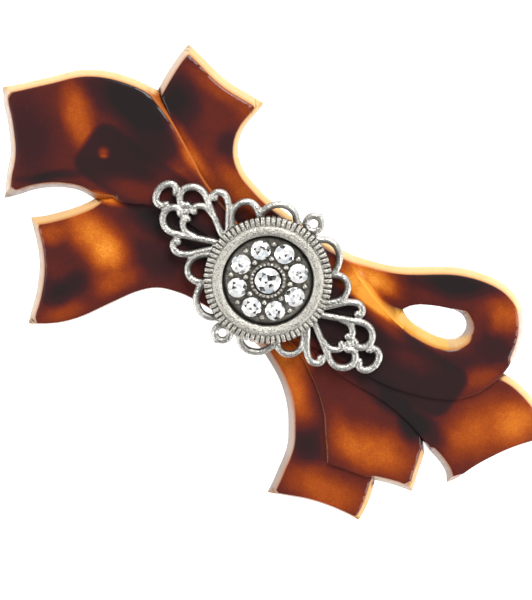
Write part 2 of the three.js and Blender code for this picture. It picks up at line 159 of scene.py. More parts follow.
def bumped(wire, height, strength, distance):
    sockets = {"Height": height, "Strength": strength, "Distance": distance}
    return wire.node("ShaderNodeBump", sockets)


# the tortoise resin
resin = {
    "ground": 0.25,
    # size and strength of slow changes, small spots and fine grain
    "drift": (0.11, 0.22),
    "fleck": (1.3, 0.16),
    "grain": (4.5, 0.34),
    "wander": (0.16, 1.8),  # how finely the patches' edges stray, and by how many mm
    "fade": (0.2, 1.45),  # where a patch starts and ends fading, in its own half sizes
    "innerEdge": (0.42, 0.13, 0.03),  # the tint along the inner edge of a side
    # x, y, half length, half width, turn in degrees, tone added in the middle
    "patches": [
        (-42.5, -4.0, 4.0, 7.0, 35, -0.12),
        (-38.4, 3.0, 5.8, 2.6, -37, 0.38),
        (-34.0, 10.0, 7.0, 3.4, 10, -0.26),
        (-28.0, 7.6, 6.0, 4.6, -25, -0.2),
        (-28.0, -4.9, 3.4, 0.9, 24, 0.55),
        (-20.5, 7.5, 2.5, 4.7, -15, 0.12),
        (-21.6, 9.2, 8.0, 1.3, -22, 0.34),
        (-36.8, -7.0, 5.0, 0.9, 43, -0.2),
        (-27.4, 14.5, 4.2, 3.4, -25, -0.26),
        (-22.5, 19.6, 6.5, 1.7, -2, 0.2),
        (-17.2, 18.8, 2.2, 1.8, 35, 0.12),
        (-16.8, 13.9, 2.4, 2.4, 35, -0.14),
        (-12.0, 8.8, 5.0, 2.2, -10, 0.3),
        (-25.4, -10.6, 6.4, 3.4, -6, 0.56),
        (-21.8, -13.0, 2.6, 4.2, 10, 0.2),
        (-31.7, -14.4, 2.6, 1.8, 35, 0.3),
        (-24.4, -19.6, 4.6, 1.9, 70, -0.22),
        (-27.6, -21.8, 2.4, 3.0, -65, -0.12),
        (-15.7, -7.6, 5.0, 3.4, 15, -0.14),
        (-19.6, -3.4, 4.4, 2.0, 15, -0.24),
        (-18.4, -14.4, 4.4, 1.8, 65, 0.26),
        (-22.6, -23.3, 4.0, 1.6, 55, 0.2),
        (13.2, 9.8, 5.6, 2.6, -5, 0.42),
        (15.3, 9.1, 2.8, 1.5, -5, 0.25),
        (24.4, 15.8, 7.5, 2.2, 27, -0.28),
        (34.4, 16.2, 3.0, 4.2, -55, 0.34),
        (32.6, 13.6, 1.4, 2.2, 35, -0.14),
        (36.0, 10.4, 3.6, 3.0, 35, -0.14),
        (37.0, 5.8, 4.0, 1.8, 55, 0.18),
        (16.8, 5.2, 7.0, 2.0, -13, 0.5),
        (25.4, 3.8, 5.0, 2.0, 0, 0.16),
        (32.2, 5.4, 3.6, 2.0, 25, -0.12),
        # the dark patch below carries the clip's painted shadow on across the right tail
        (29.0, -5.2, 10.0, 2.2, -8, -0.3),
        (41.2, -5.4, 3.6, 4.8, 20, 0.14),
        (43.4, 0.2, 7.2, 5.6, 55, 0.36),
        (47.5, 3.2, 4.0, 4.0, 35, 0.26),
        (30.2, -13.6, 7.4, 3.9, 12, 0.42),
        (24.0, -13.8, 5.0, 1.8, -35, 0.12),
        (10.6, -6.6, 4.6, 1.6, -30, 0.3),
        (32.8, -7.7, 2.6, 1.8, -25, -0.22),
        (13.6, -12.2, 7.0, 2.6, -38, 0.42),
        (7.4, -8.6, 3.6, 2.0, -10, 0.32),
        (20.8, -18.3, 3.8, 2.8, -55, -0.2),
        (27.8, -23.2, 7.6, 3.4, 12, 0.34),
    ],
    # where the clip behind blocks the light: middle, half size, corner, softness and how dark
    "shadow": {
        "middle": (0.3, 0.7, 0),
        "half": (35.7, 4.6),
        "corner": 2.4,
        "soft": (-0.7, 0.5),
        "depth": 0.8,
    },
    # light that comes through all the same
    "through": [
        (-24.4, -0.9, 6.0, 2.2, 22, 0.26),
        (-21.0, 3.4, 4.0, 2.2, 0, 0.16),
        (25.8, 1.8, 4.6, 1.6, 12, 0.14),
        (-32.1, 1.0, 1.0, 1.0, 0, 0.36),
        (-31.7, 0.5, 0.7, 0.35, 30, 0.2),
        (28.7, 1.0, 0.9, 0.9, 0, 0.06),
        (16.2, 5.6, 7.0, 1.6, -14, 0.34),
        (12.6, 8.4, 4.0, 1.6, -20, 0.2),
        (9.2, 7.0, 3.6, 2.4, -20, 0.26),
        (-13.5, 3.4, 4.6, 2.6, -15, 0.2),
        (-8.5, 7.8, 3.4, 2.0, -20, 0.12),
        (1.8, -8.6, 4.0, 1.8, 0, 0.2),
    ],
    "tones": [
        (0.0, (0.014, 0.010, 0.010)),
        (0.16, (0.034, 0.010, 0.011)),
        (0.32, (0.088, 0.014, 0.009)),
        (0.48, (0.175, 0.028, 0.006)),
        (0.64, (0.300, 0.058, 0.007)),
        (0.82, (0.480, 0.130, 0.012)),
        (1.0, (0.700, 0.270, 0.035)),
    ],
}


def addPatches(wire, tone, coords, patches):
    for x, y, along, across, turn, depth in patches:
        spot = {
            "Vector": coords,
            "Location": (x, y, 0),
            "Rotation": (0, 0, math.radians(turn)),
            "Scale": (along, across, 1),
        }
        local = wire.node("ShaderNodeMapping", spot, vector_type="TEXTURE")
        reach = wire.node("ShaderNodeVectorMath", {0: local}, out=1, operation="LENGTH")
        tone = tone + reach.spread(*resin["fade"], depth, 0.0)
    return tone


def clipShadow(wire, coords):
    shadow = resin["shadow"]
    corner = shadow["corner"]
    out = wire.node("ShaderNodeVectorMath", {0: coords, 1: shadow["middle"]}, operation="SUBTRACT")
    out = wire.node("ShaderNodeVectorMath", {0: out}, operation="ABSOLUTE")
    inner = (*(half - corner for half in shadow["half"]), 9)
    out = wire.node("ShaderNodeVectorMath", {0: out, 1: inner}, operation="SUBTRACT")
    out = wire.node("ShaderNodeVectorMath", {0: out, 1: (0, 0, 0)}, operation="MAXIMUM")
    outside = wire.node("ShaderNodeVectorMath", {0: out}, out=1, operation="LENGTH") - corner
    return outside.spread(*shadow["soft"], shadow["depth"], 0.0)


def tortoiseResin(wire):
    place = onObject(wire)
    flat = flattened(wire, place)
    fineness, strength = resin["wander"]
    stray = noise(wire, flat, fineness, detail=3.0, out=1)
    stray = wire.node("ShaderNodeVectorMath", {0: stray, 1: (0.5, 0.5, 0.5)}, operation="SUBTRACT")
    stray = wire.node("ShaderNodeVectorMath", {0: stray, "Scale": strength}, operation="SCALE")
    bent = wire.node("ShaderNodeVectorMath", {0: flat, 1: stray}, operation="ADD")
    fineness, strength = resin["drift"]
    tone = resin["ground"] + strength * (noise(wire, flat, fineness, detail=3.0) - 0.5)
    tone = addPatches(wire, tone, bent, resin["patches"])
    tone = tone.clamped() * (1 - clipShadow(wire, flat))
    tone = addPatches(wire, tone, flat, resin["through"])
    grainFineness, grainStrength = resin["grain"]
    fleckFineness, fleckStrength = resin["fleck"]
    grain = (noise(wire, place, grainFineness) - 0.5) * grainStrength
    fleck = (noise(wire, place, fleckFineness, detail=3.0) - 0.5) * fleckStrength
    tone = tone + (grain + fleck) * (tone + 0.1)
    colour = sideLightAndShade(wire, tone.clamped().ramp(resin["tones"]))
    return {
        "Base Color": colour,
        "Roughness": 0.24,
        "IOR": 1.45,
        "Specular IOR Level": 0.18,
        "Coat Weight": 0.12,
        "Coat Roughness": 0.06,
        "Normal": bumped(wire, noise(wire, place, 0.5), 0.08, 0.0006),
    }


wallReach = 3.0  # how many widths of a side the wall attribute counts


def sideLightAndShade(wire, colour):
    # the sloping sides of the ribbons get painted light and shade, a tint for each side by how it faces
    # the light
    wall = wire.node("ShaderNodeAttribute", attribute_name="wall")
    wall = wire.node("ShaderNodeSeparateColor", {0: wall})
    strength = Wire(wire.tree, wall.socket.node.outputs[1])
    inFromEdge = wall * wallReach  # in widths of the side
    tint = wire.node("ShaderNodeAttribute", attribute_name="tint")
    tint = mixColour(wire, inFromEdge.spread(0.45, 0.78, 0.0, 0.75), tint, resin["innerEdge"])
    return mixColour(wire, inFromEdge.spread(0.72, 0.86, 0.95, 0.0) * strength, colour, tint)


# the plate that is shaped as a folded ribbon
bowPlate = {
    "cell": 1.2,  # mm between the cuts that let the plate bend
    "spacing": 0.7,  # mm between points on an outline
    # how far in from the outline, and how far under the top, the side slopes to
    "rim": [(0.75, 0.3), (0.9, 0.1), (1.15, 0.03), (1.5, 0.0)],
    "lip": 0.5,  # mm that the side stands straight before it slopes
}

# how a side of a ribbon looks: its width in mm, its colour and how strongly it shows; the colours are
# painted light and shade, picked by which way each side faces
sideStyles = {
    "gold": (1.0, (0.60, 0.37, 0.14), 1),
    "wideGold": (1.3, (0.60, 0.38, 0.17), 1),
    "hole": (1.75, (0.60, 0.35, 0.08), 1),
    "holeEnd": (1.7, (0.50, 0.32, 0.14), 1),
    "rose": (1.3, (0.32, 0.26, 0.23), 1),
    "peach": (1.15, (0.44, 0.34, 0.26), 1),
    "amber": (1.5, (0.36, 0.085, 0.014), 0.9),
    "fold": (1.8, (0.60, 0.30, 0.045), 1),
    "fine": (0.4, (0.50, 0.22, 0.08), 0.8),
    "dark": (0.4, (0.03, 0.01, 0.01), 0),
}

# each ribbon: its top in mm, and its outline in mm as sides that run from corner to corner
ribbons = {
    "upperLeft": (3.0, [
        ("peach", [(-50.7, -0.6), (-49.0, -2.6), (-47.4, -4.0), (-44.8, -6.8), (-43.4, -8.9),
            (-42.4, -11.2), (-40.5, -14.5)]),
        ("rose", [(-40.5, -14.5), (-39.1, -12.8), (-37.4, -10.5), (-35.1, -8.3), (-32.4, -6.7),
            (-30.6, -6.2), (-28.9, -6.1)]),
        ("amber", [(-28.9, -6.1), (-26.7, -4.8)]),
        ("dark", [(-26.7, -4.8), (-23.6, -3.2), (-20.1, -1.4), (-12.0, -0.6), (-4.0, -2.0)]),
        ("dark", [(-4.0, -2.0), (0.0, 3.0)]),
        ("amber", [(0.0, 3.0), (-8.0, 4.9), (-15.9, 7.3), (-19.4, 9.0), (-22.3, 10.4), (-26.2, 12.2),
            (-30.7, 13.6)]),
        ("gold", [(-30.7, 13.6), (-33.6, 13.1), (-35.8, 12.5), (-38.0, 11.7), (-40.1, 10.6),
            (-41.9, 9.3), (-43.4, 7.8), (-45.2, 5.6), (-47.1, 3.4), (-49.0, 1.2), (-50.7, -0.6)]),
    ]),
    "topTail": (2.3, [
        ("peach", [(-30.9, 22.3), (-31.1, 19.6), (-31.0, 16.6), (-30.7, 13.6)]),
        ("dark", [(-30.7, 13.6), (-22.0, 8.0)]),
        ("dark", [(-22.0, 8.0), (2.0, -2.0)]),
        ("dark", [(2.0, -2.0), (5.0, 9.8)]),
        ("gold", [(5.0, 9.8), (1.5, 9.6), (-4.4, 9.7), (-7.2, 9.9), (-9.8, 10.4), (-12.0, 11.0),
            (-13.5, 11.8), (-14.7, 12.8), (-15.6, 14.1), (-16.2, 15.6), (-16.4, 17.4), (-16.2, 19.6),
            (-16.1, 21.7)]),
        ("wideGold", [(-16.1, 21.7), (-18.4, 21.5), (-20.6, 21.3), (-22.6, 21.2), (-25.0, 21.4),
            (-27.8, 21.9), (-30.9, 22.3)]),
    ]),
    "loop": (3.2, [
        ("gold", [(-2.0, 9.6), (1.5, 9.6), (5.0, 9.7), (7.3, 9.9), (9.2, 10.2), (11.2, 10.8),
            (13.3, 11.5), (15.2, 12.3), (17.1, 13.4), (19.0, 14.7), (21.1, 16.2), (23.3, 17.6),
            (25.5, 18.6), (27.7, 19.3), (29.8, 19.7), (31.8, 19.8), (33.6, 19.5), (35.2, 18.9),
            (36.6, 17.9)]),
        ("peach", [(36.6, 17.9), (37.8, 16.5), (38.8, 14.9), (39.5, 13.1), (40.0, 11.2)]),
        ("fine", [(40.0, 11.2), (40.1, 9.4), (40.0, 7.6), (39.7, 6.1), (39.1, 4.6), (38.5, 3.1),
            (37.6, 1.9), (36.5, 0.7), (35.3, -0.2), (33.8, -1.0), (32.3, -1.7), (30.4, -2.4),
            (28.4, -3.1)]),
        ("dark", [(28.4, -3.1), (26.2, -3.7), (23.9, -4.1), (18.0, -4.6), (10.0, -6.0), (2.0, -9.6)]),
        ("dark", [(2.0, -9.6), (-4.0, -4.0)]),
        ("dark", [(-4.0, -4.0), (-2.0, 9.6)]),
    ]),
    "rightTail": (2.6, [
        ("fine", [(53.3, 4.6), (51.4, 2.2), (49.6, 0.1), (48.0, -2.1), (46.6, -4.5), (45.5, -6.7),
            (44.7, -8.8), (44.1, -10.4), (43.2, -11.7)]),
        ("rose", [(43.2, -11.7), (42.3, -10.6), (41.2, -9.9), (39.6, -9.3), (38.0, -8.9)]),
        ("dark", [(38.0, -8.9), (35.4, -8.0), (32.8, -7.2), (30.1, -6.7), (27.4, -6.4), (24.3, -6.4),
            (21.1, -6.7), (18.0, -6.7), (15.0, -6.4), (8.0, -5.0)]),
        ("dark", [(8.0, -5.0), (8.0, 2.0)]),
        ("dark", [(8.0, 2.0), (36.0, 3.0)]),
        ("dark", [(36.0, 3.0), (40.0, 7.9)]),
        ("gold", [(40.0, 7.9), (41.6, 8.0), (43.2, 7.9), (45.2, 7.5), (47.2, 6.9), (50.3, 5.9),
            (53.3, 4.6)]),
    ]),
    "middleTail": (2.1, [
        ("peach", [(39.3, -16.0), (37.8, -16.3), (36.4, -16.6), (34.8, -17.1), (33.2, -17.7)]),
        ("dark", [(33.2, -17.7), (31.2, -18.3), (29.0, -18.8), (27.0, -19.3), (25.2, -19.8)]),
        ("fine", [(25.2, -19.8), (23.4, -17.5), (21.8, -15.6), (20.2, -13.6), (18.2, -11.8),
            (16.2, -10.3), (14.0, -9.0), (12.0, -7.9), (6.0, -6.0)]),
        ("dark", [(6.0, -6.0), (2.0, 0.0)]),
        ("dark", [(2.0, 0.0), (20.0, -1.0)]),
        ("dark", [(20.0, -1.0), (34.0, -6.0)]),
        ("dark", [(34.0, -6.0), (37.2, -9.6)]),
        ("gold", [(37.2, -9.6), (37.8, -11.2), (38.3, -12.9), (38.9, -14.4), (39.3, -16.0)]),
    ]),
    "bottomTail": (1.6, [
        ("rose", [(20.2, -28.8), (19.9, -26.9), (19.4, -24.6), (18.9, -22.3), (18.1, -20.2),
            (16.8, -18.2), (15.2, -16.1), (13.4, -14.3), (11.4, -12.8), (9.4, -11.7), (7.6, -10.9),
            (6.0, -10.2)]),
        ("fine", [(6.0, -10.2), (1.0, -9.6), (-4.4, -9.7)]),
        ("dark", [(-4.4, -9.7), (-4.0, 0.0)]),
        ("dark", [(-4.0, 0.0), (10.0, -2.0)]),
        ("dark", [(10.0, -2.0), (30.0, -12.0)]),
        ("dark", [(30.0, -12.0), (33.5, -18.1)]),
        ("gold", [(33.5, -18.1), (34.2, -20.1), (34.8, -22.4), (35.0, -24.5)]),
        ("fine", [(35.0, -24.5), (33.0, -24.7), (31.0, -25.0), (28.6, -25.5), (26.0, -26.3),
            (23.2, -27.5), (20.2, -28.8)]),
    ]),
    "lowerLeft": (2.2, [
        ("peach", [(-35.4, -14.5), (-33.6, -16.1), (-32.0, -17.5), (-30.5, -19.2), (-29.4, -20.8),
            (-28.4, -22.7), (-27.6, -24.6), (-27.0, -26.5), (-26.2, -28.4)]),
        ("fine", [(-26.2, -28.4), (-24.3, -27.1), (-22.6, -25.7), (-21.2, -24.2), (-19.8, -22.3),
            (-18.6, -20.2), (-17.4, -18.0), (-16.3, -16.0), (-15.2, -14.2), (-13.9, -12.6),
            (-12.5, -11.5), (-10.6, -10.7), (-8.2, -10.1), (-4.4, -9.7), (-1.0, -9.6)]),
        ("dark", [(-1.0, -9.6), (0.0, 2.0)]),
        ("dark", [(0.0, 2.0), (-22.0, 2.0)]),
        ("dark", [(-22.0, 2.0), (-28.9, -6.1)]),
        ("wideGold", [(-28.9, -6.1), (-29.8, -7.8), (-31.0, -9.6), (-32.5, -11.5), (-34.0, -13.2),
            (-35.4, -14.5)]),
    ]),
}
teardrop = [
    ("dark", [(20.7, 7.5), (21.3, 8.6), (22.4, 9.7), (23.8, 10.6), (25.4, 11.4), (27.4, 12.1),
        (28.9, 12.2)]),
    ("rose", [(28.9, 12.2), (30.1, 11.6), (30.8, 10.6), (30.9, 9.4)]),
    ("holeEnd", [(30.9, 9.4), (30.4, 8.3), (29.3, 7.5)]),
    ("hole", [(29.3, 7.5), (27.8, 7.0), (25.9, 6.7), (23.9, 6.6)]),
    ("fold", [(23.9, 6.6), (22.2, 6.8), (20.7, 7.5)]),
]


def between(start, end, value):
    share = min(1.0, max(0.0, (value - start) / (end - start)))
    return share * share * (3 - 2 * share)


def smoothSide(points, spacing):
    # a curve through the points, even in spacing; the last point belongs to the next side
    if len(points) == 2:
        first, last = [Vector(p) for p in points]
        count = max(1, round((last - first).length / spacing))
        return [first.lerp(last, i / count) for i in range(count)]
    knots = [Vector(p) for p in points]
    knots = [2 * knots[0] - knots[1], *knots, 2 * knots[-1] - knots[-2]]
    made = []
    for i in range(1, len(knots) - 2):
        before, first, last, after = knots[i - 1:i + 3]
        count = max(1, round((last - first).length / spacing))
        for k in range(count):
            t = k / count
            made.append(0.5 * (2 * first + t * (last - before)
                + t * t * (2 * before - 5 * first + 4 * last - after)
                + t * t * t * (3 * first - before - 3 * last + after)))
    return made


def outlineLoop(bm, sides):
    # the closed outline's edges, and a fence along each side
    runs = [smoothSide(points, bowPlate["spacing"]) for style, points in sides]
    verts = [bm.verts.new((p.x, p.y, 0)) for run in runs for p in run]
    edges = [bm.edges.new((verts[i - 1], verts[i])) for i in range(len(verts))]
    fences = []
    for i, run in enumerate(runs):
        after = runs[(i + 1) % len(runs)][0]
        fences.append((sides[i][0], standingFence([*run, after])))
    return edges, fences


# the loop's lower band lies over its upper one, with a sloping side between them
fold = {
    "from": 9.4,
    "to": 22.4,
    "depth": 1.6,
    "rise": 7.0,  # mm beyond the foot before the upper band is level again
    "start": (8.5, 9.4),
    "slope": -0.47,
    "curve": 0.0125,
}


def foldEdge(x):
    startX, startY = fold["start"]
    along = x - startX
    return startY + fold["slope"] * along + fold["curve"] * along ** 2


def foldWidth(x):
    # a fine line at first, and a broad side at the hole
    return 0.2 + 0.6 * between(8, 13, x) + 1.0 * between(16.5, 20.5, x)


def foldPlace(x, y):
    # -1 at the top of the fold's side, 0 at its foot, then mm beyond it
    away = y - foldEdge(x) - foldWidth(x)
    return away / foldWidth(x) if away < 0 else away


def foldDip(x, y):
    spot = foldPlace(x, y)
    deepest = fold["depth"] * between(fold["from"] - 1, 16, x) * (1 - between(20.5, 27, x))
    share = between(-1, 0, spot) if spot < 0 else 1 - between(0, fold["rise"], spot)
    return deepest * share


def relief(x, y):
    # the soft swell of moulded ribbon, never above the flat
    return 0.10 * math.sin(0.30 * x + 0.12 * y) + 0.08 * math.sin(0.21 * y - 0.16 * x + 1.3) - 0.18


def standingFence(points):
    # a side of an outline stood on edge, to measure how far a point is from it
    corners = []
    panels = []
    up = Vector((0, 0, 1))
    for first, last in zip(points, points[1:]):
        panels.append([len(corners) + i for i in range(4)])
        corners += [first.to_3d() - up, last.to_3d() - up, last.to_3d() + up, first.to_3d() + up]
    return BVHTree.FromPolygons(corners, panels)


def contourCut(bm, reach, level):
    # an edge loop all the way round at one distance from the outline
    joins = []
    for vert in bm.verts:
        if abs(vert[reach] - level) < 0.03:
            vert[reach] = level
            joins.append(vert)
    crossing = [e for e in bm.edges if (e.verts[0][reach] - level) * (e.verts[1][reach] - level) < 0]
    for edge in crossing:
        first, last = edge.verts
        share = (level - first[reach]) / (last[reach] - first[reach])
        made = bmesh.utils.edge_split(edge, first, share)[1]
        made[reach] = level
        joins.append(made)
    bmesh.ops.connect_verts(bm, verts=joins)


def ribbonSheet(sides, holes, contours, folded):
    # a flat sheet, cut so that it can bend, whose points know how far in they are from which side
    bm = bmesh.new()
    reach = bm.verts.layers.float.new("reach")
    nearest = bm.verts.layers.int.new("nearest")
    edges, fences = outlineLoop(bm, sides)
    for hole in holes:
        more, moreFences = outlineLoop(bm, hole)
        edges += more
        fences += moreFences
    bmesh.ops.triangle_fill(bm, edges=edges, use_beauty=True, normal=(0, 0, 1))
    gridCut(bm, bowPlate["cell"])
    if folded:
        for vert in bm.verts:
            vert[reach] = foldPlace(vert.co.x, vert.co.y)
        for level in (-1, 0):
            contourCut(bm, reach, level)
    measure(bm, fences, reach, nearest)
    for level in contours:
        contourCut(bm, reach, level)
    measure(bm, fences, reach, nearest)
    return bm, reach, nearest


def sideWidth(style, x, y):
    # the fold's own side ends at its foot
    return sideStyles["dark" if style == "fold" and foldPlace(x, y) > 0.05 else style][0]


def measure(bm, fences, reach, nearest):
    # how far in each point is, in widths of the side that it belongs to
    for vert in bm.verts:
        x, y = vert.co.x, vert.co.y
        shares = [fence.find_nearest(vert.co)[3] / sideWidth(style, x, y) for style, fence in fences]
        least = min(shares)
        vert[reach] = least
        vert[nearest] = list(sideStyles).index(fences[shares.index(least)][0])


def gridCut(bm, cell):
    for axis in (0, 1):
        low = min(v.co[axis] for v in bm.verts)
        high = max(v.co[axis] for v in bm.verts)
        normal = Vector((1 - axis, axis, 0))
        for i in range(math.ceil(low / cell), math.floor(high / cell) + 1):
            cut = {"dist": 1e-4, "plane_co": normal * (i * cell), "plane_no": normal}
            bmesh.ops.bisect_plane(bm, geom=[*bm.verts, *bm.edges, *bm.faces], **cut)


def extruded(bm, faces):
    # a second layer of some faces, joined to them all round; gives the points of that layer
    made = bmesh.ops.extrude_face_region(bm, geom=faces, use_keep_orig=True)["geom"]
    return [g for g in made if isinstance(g, bmesh.types.BMVert)]


def makeShell(bm, reach, top):
    # gives a sheet its thickness, with sides that slope in
    for vert in extruded(bm, list(bm.faces)):
        vert.co.z = slopeHeight(vert[reach], top)
    bmesh.ops.recalc_face_normals(bm, faces=bm.faces)


def slopeHeight(distance, top):
    # distances count in widths of the side
    steps = [(0.0, top - bowPlate["lip"]), *bowPlate["rim"]]
    for (near, nearUnder), (far, farUnder) in zip(steps, steps[1:]):
        if distance <= far:
            share = (distance - near) / (far - near)
            return top - nearUnder - share * (farUnder - nearUnder)
    return top


def bend(bm, name, top, under):
    for vert in bm.verts:
        x, y = vert.co.x, vert.co.y
        share = vert.co.z / top
        dip = foldDip(x, y) if name == "loop" else 0.0
        vert.co.z += share * (relief(x, y) - dip) + (1 - share) * under - archDrop(x)


def markWalls(bm, reach, nearest, folded):
    # what the material needs to paint light and shade on the sloping sides
    wall = bm.loops.layers.float_color.new("wall")
    tint = bm.loops.layers.float_color.new("tint")
    styles = list(sideStyles.values())
    for vert in bm.verts:
        width, colour, strength = styles[vert[nearest]]
        for loop in vert.link_loops:
            loop[wall] = (min(vert[reach], wallReach) / wallReach, strength, 0, 1)
            loop[tint] = (*colour, 1)
    if folded:
        markFold(bm, wall, tint)


def markFold(bm, wall, tint):
    # the fold's painted light fades in from its narrow end and down to its foot
    colour = sideStyles["fold"][1]
    for face in bm.faces:
        middle = face.calc_center_median()
        if fold["from"] < middle.x < fold["to"] and -1 < foldPlace(middle.x, middle.y) < 0:
            for loop in face.loops:
                x, y = loop.vert.co.x, loop.vert.co.y
                upTheSide = min(1, max(0, -foldPlace(x, y)))
                shown = max(upTheSide, between(19.0, 20.6, x))
                loop[wall] = (0.15, shown * between(fold["from"], fold["from"] + 3, x), 0, 1)
                loop[tint] = (*colour, 1)


def addPiece(bm, name, material, body, node, smoothAngle=35):
    # into metres and to its place on the object
    bmesh.ops.transform(bm, matrix=Matrix.Translation(home) @ Matrix.Scale(mm, 4), verts=bm.verts)
    mesh = bpy.data.meshes.new(name)
    bm.to_mesh(mesh)
    bm.free()
    mesh.shade_smooth()
    mesh.set_sharp_from_angle(angle=math.radians(smoothAngle))
    mesh.materials.append(material)
    piece = bpy.data.objects.new(name, mesh)
    bpy.context.scene.collection.objects.link(piece)
    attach(piece, body)
    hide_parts(node)
    print(name, len(piece.data.polygons), "faces")
    return piece


def asMesh(bm):
    mesh = bpy.data.meshes.new("passing")
    bm.to_mesh(mesh)
    bm.free()
    return mesh


def lathe(bm, profile, steps):
    verts = [bm.verts.new((r, 0, z)) for r, z in profile]
    edges = [bm.edges.new(pair) for pair in zip(verts, verts[1:] + verts[:1])]
    turn = {"cent": (0, 0, 0), "axis": (0, 0, 1), "angle": math.tau, "steps": steps}
    bmesh.ops.spin(bm, geom=[*verts, *edges], use_merge=True, **turn)
    bmesh.ops.remove_doubles(bm, verts=bm.verts, dist=1e-4)
    bmesh.ops.recalc_face_normals(bm, faces=bm.faces)


def joinInto(target, part, matrices=(Matrix(),)):
    # copies of one shape added to another
    mesh = asMesh(part)
    for matrix in matrices:
        copy = mesh.copy()
        copy.transform(matrix)
        target.from_mesh(copy)
        bpy.data.meshes.remove(copy)
    bpy.data.meshes.remove(mesh)


pegs = {
    "along": (-32.0, 27.0),
    "radius": 1.1,
    "inside": 0.6,  # mm that a peg reaches up into the plate
    "under": -0.9,
    # the melted head from its rim down: radius, and mm under the bar
    "head": [(1.6, 0.0), (1.55, 0.22), (1.2, 0.38), (0.0, 0.4)],
}


def heatStake(x):
    # a peg through the base bar whose end is melted into a flat dome
    top = pegs["inside"] - archDrop(x)
    under = pegs["under"] - archDrop(abs(x) + pegs["head"][0][0])
    peg = bmesh.new()
    shank = [(0.0, top), (pegs["radius"], top), (pegs["radius"], under)]
    lathe(peg, shank + [(radius, under - down) for radius, down in pegs["head"]], 28)
    bmesh.ops.translate(peg, vec=(x, clipMiddle, 0), verts=peg.verts)
    peg.loops.layers.float_color.new("tint")
    wall = peg.loops.layers.float_color.new("wall")
    for face in peg.faces:
        for loop in face.loops:
            loop[wall] = (1, 0, 0, 1)
    return peg


def makeBowPlate(material):
    whole = bmesh.new()
    contours = [distance for distance, under in bowPlate["rim"]]
    for i, name in enumerate(ribbons):
        top, sides = ribbons[name]
        folded = name == "loop"
        holes = [teardrop] if folded else []
        shell, reach, nearest = ribbonSheet(sides, holes, contours, folded)
        makeShell(shell, reach, top)
        markWalls(shell, reach, nearest, folded)
        bend(shell, name, top, 0.01 * (i + 1))
        joinInto(whole, shell)
    for x in pegs["along"]:
        joinInto(whole, heatStake(x))
    addPiece(whole, "tortoise_bow", material, "bow_and_base", "bow_plate")


makeBowPlate(makeMaterial("tortoiseResin", tortoiseResin))

# colour of the high parts, colour of the low ones, the heights in mm between them over the
# curve of the bow, and the grain's fineness and depth
finishes = {
    "frame": ((0.50, 0.49, 0.455), (0.05, 0.043, 0.035), (3.25, 4.05), 3.6, 0.7),
    "rim": ((0.50, 0.48, 0.43), (0.028, 0.025, 0.02), (5.3, 6.25), 4.5, 0.9),
    "pan": ((0.50, 0.48, 0.43), (0.075, 0.069, 0.057), (5.62, 6.12), 3.4, 0.9),
}
# painted shade in the gap between the pan and the rim
panGapShade = {"from": 6.35, "to": 6.85, "colour": (0.012, 0.011, 0.009)}  # mm out from the middle
steelTones = [(0.3, (0.60, 0.58, 0.55)), (0.6, (0.70, 0.68, 0.64)), (0.8, (0.74, 0.70, 0.62))]


def metalBase(wire, bright, dull, height, grainScale, grainDepth):
    place = onObject(wire)
    split = wire.node("ShaderNodeSeparateXYZ", {0: place})
    across = Wire(wire.tree, split.socket.node.outputs[0])
    up = Wire(wire.tree, split.socket.node.outputs[2]) + across * across * (0.5 / archRadius)
    patina = noise(wire, place, 1.1, detail=4.0)
    pits = noise(wire, place, 5.5, detail=1.0).spread(0.36, 0.47)
    shine = (up.spread(*height) + (patina - 0.5) * 0.9).clamped() * (0.4 + 0.6 * pits)
    grain = noise(wire, place, grainScale, detail=2.0)
    return {
        "Base Color": mixColour(wire, shine, dull, bright),
        "Metallic": 1.0,
        "Roughness": 0.56 - 0.16 * shine + (grain - 0.5) * 0.2,
        "Normal": bumped(wire, grain, grainDepth, 0.0002),
    }


def antiqueSilver(wire):
    return metalBase(wire, *finishes["frame"])


def rimSilver(wire):
    return metalBase(wire, *finishes["rim"])


def panSilver(wire):
    # painted shade darkens the gap where the pan meets the rim
    surface = metalBase(wire, *finishes["pan"])
    flat = flattened(wire, onObject(wire))
    fromMiddle = wire.node("ShaderNodeVectorMath", {0: flat}, out=1, operation="LENGTH")
    share = fromMiddle.spread(panGapShade["from"], panGapShade["to"])
    surface["Base Color"] = mixColour(wire, share, surface["Base Color"], panGapShade["colour"])
    return surface


def clipSteel(wire):
    place = onObject(wire)
    streaks = wire.node("ShaderNodeMapping", {"Vector": place, "Scale": (0.06, 3.0, 3.0)})
    brushed = noise(wire, streaks, 2.0, detail=3.0)
    wear = noise(wire, place, 0.25, detail=4.0)
    return {
        "Base Color": wear.ramp(steelTones),
        "Metallic": 1.0,
        "Roughness": 0.22 + 0.2 * brushed + 0.1 * wear,
        "Normal": bumped(wire, brushed, 0.25, 0.00005),
    }


def crystal(wire):
    # each facet's colour is a painted reflection
    facet = wire.node("ShaderNodeAttribute", attribute_name="facet")
    smear = noise(wire, onObject(wire), 1.6, detail=3.0)
    return {
        "Base Color": mixColour(wire, smear.spread(0.35, 0.65, 0.0, 0.3), facet, (0.66, 0.66, 0.65)),
        "Metallic": 0.35,
        "Roughness": 0.05 + 0.06 * smear,
        "Coat Weight": 1.0,
        "Coat Roughness": 0.02,
    }


silver = makeMaterial("antiqueSilver", antiqueSilver)
steel = makeMaterial("clipSteel", clipSteel)

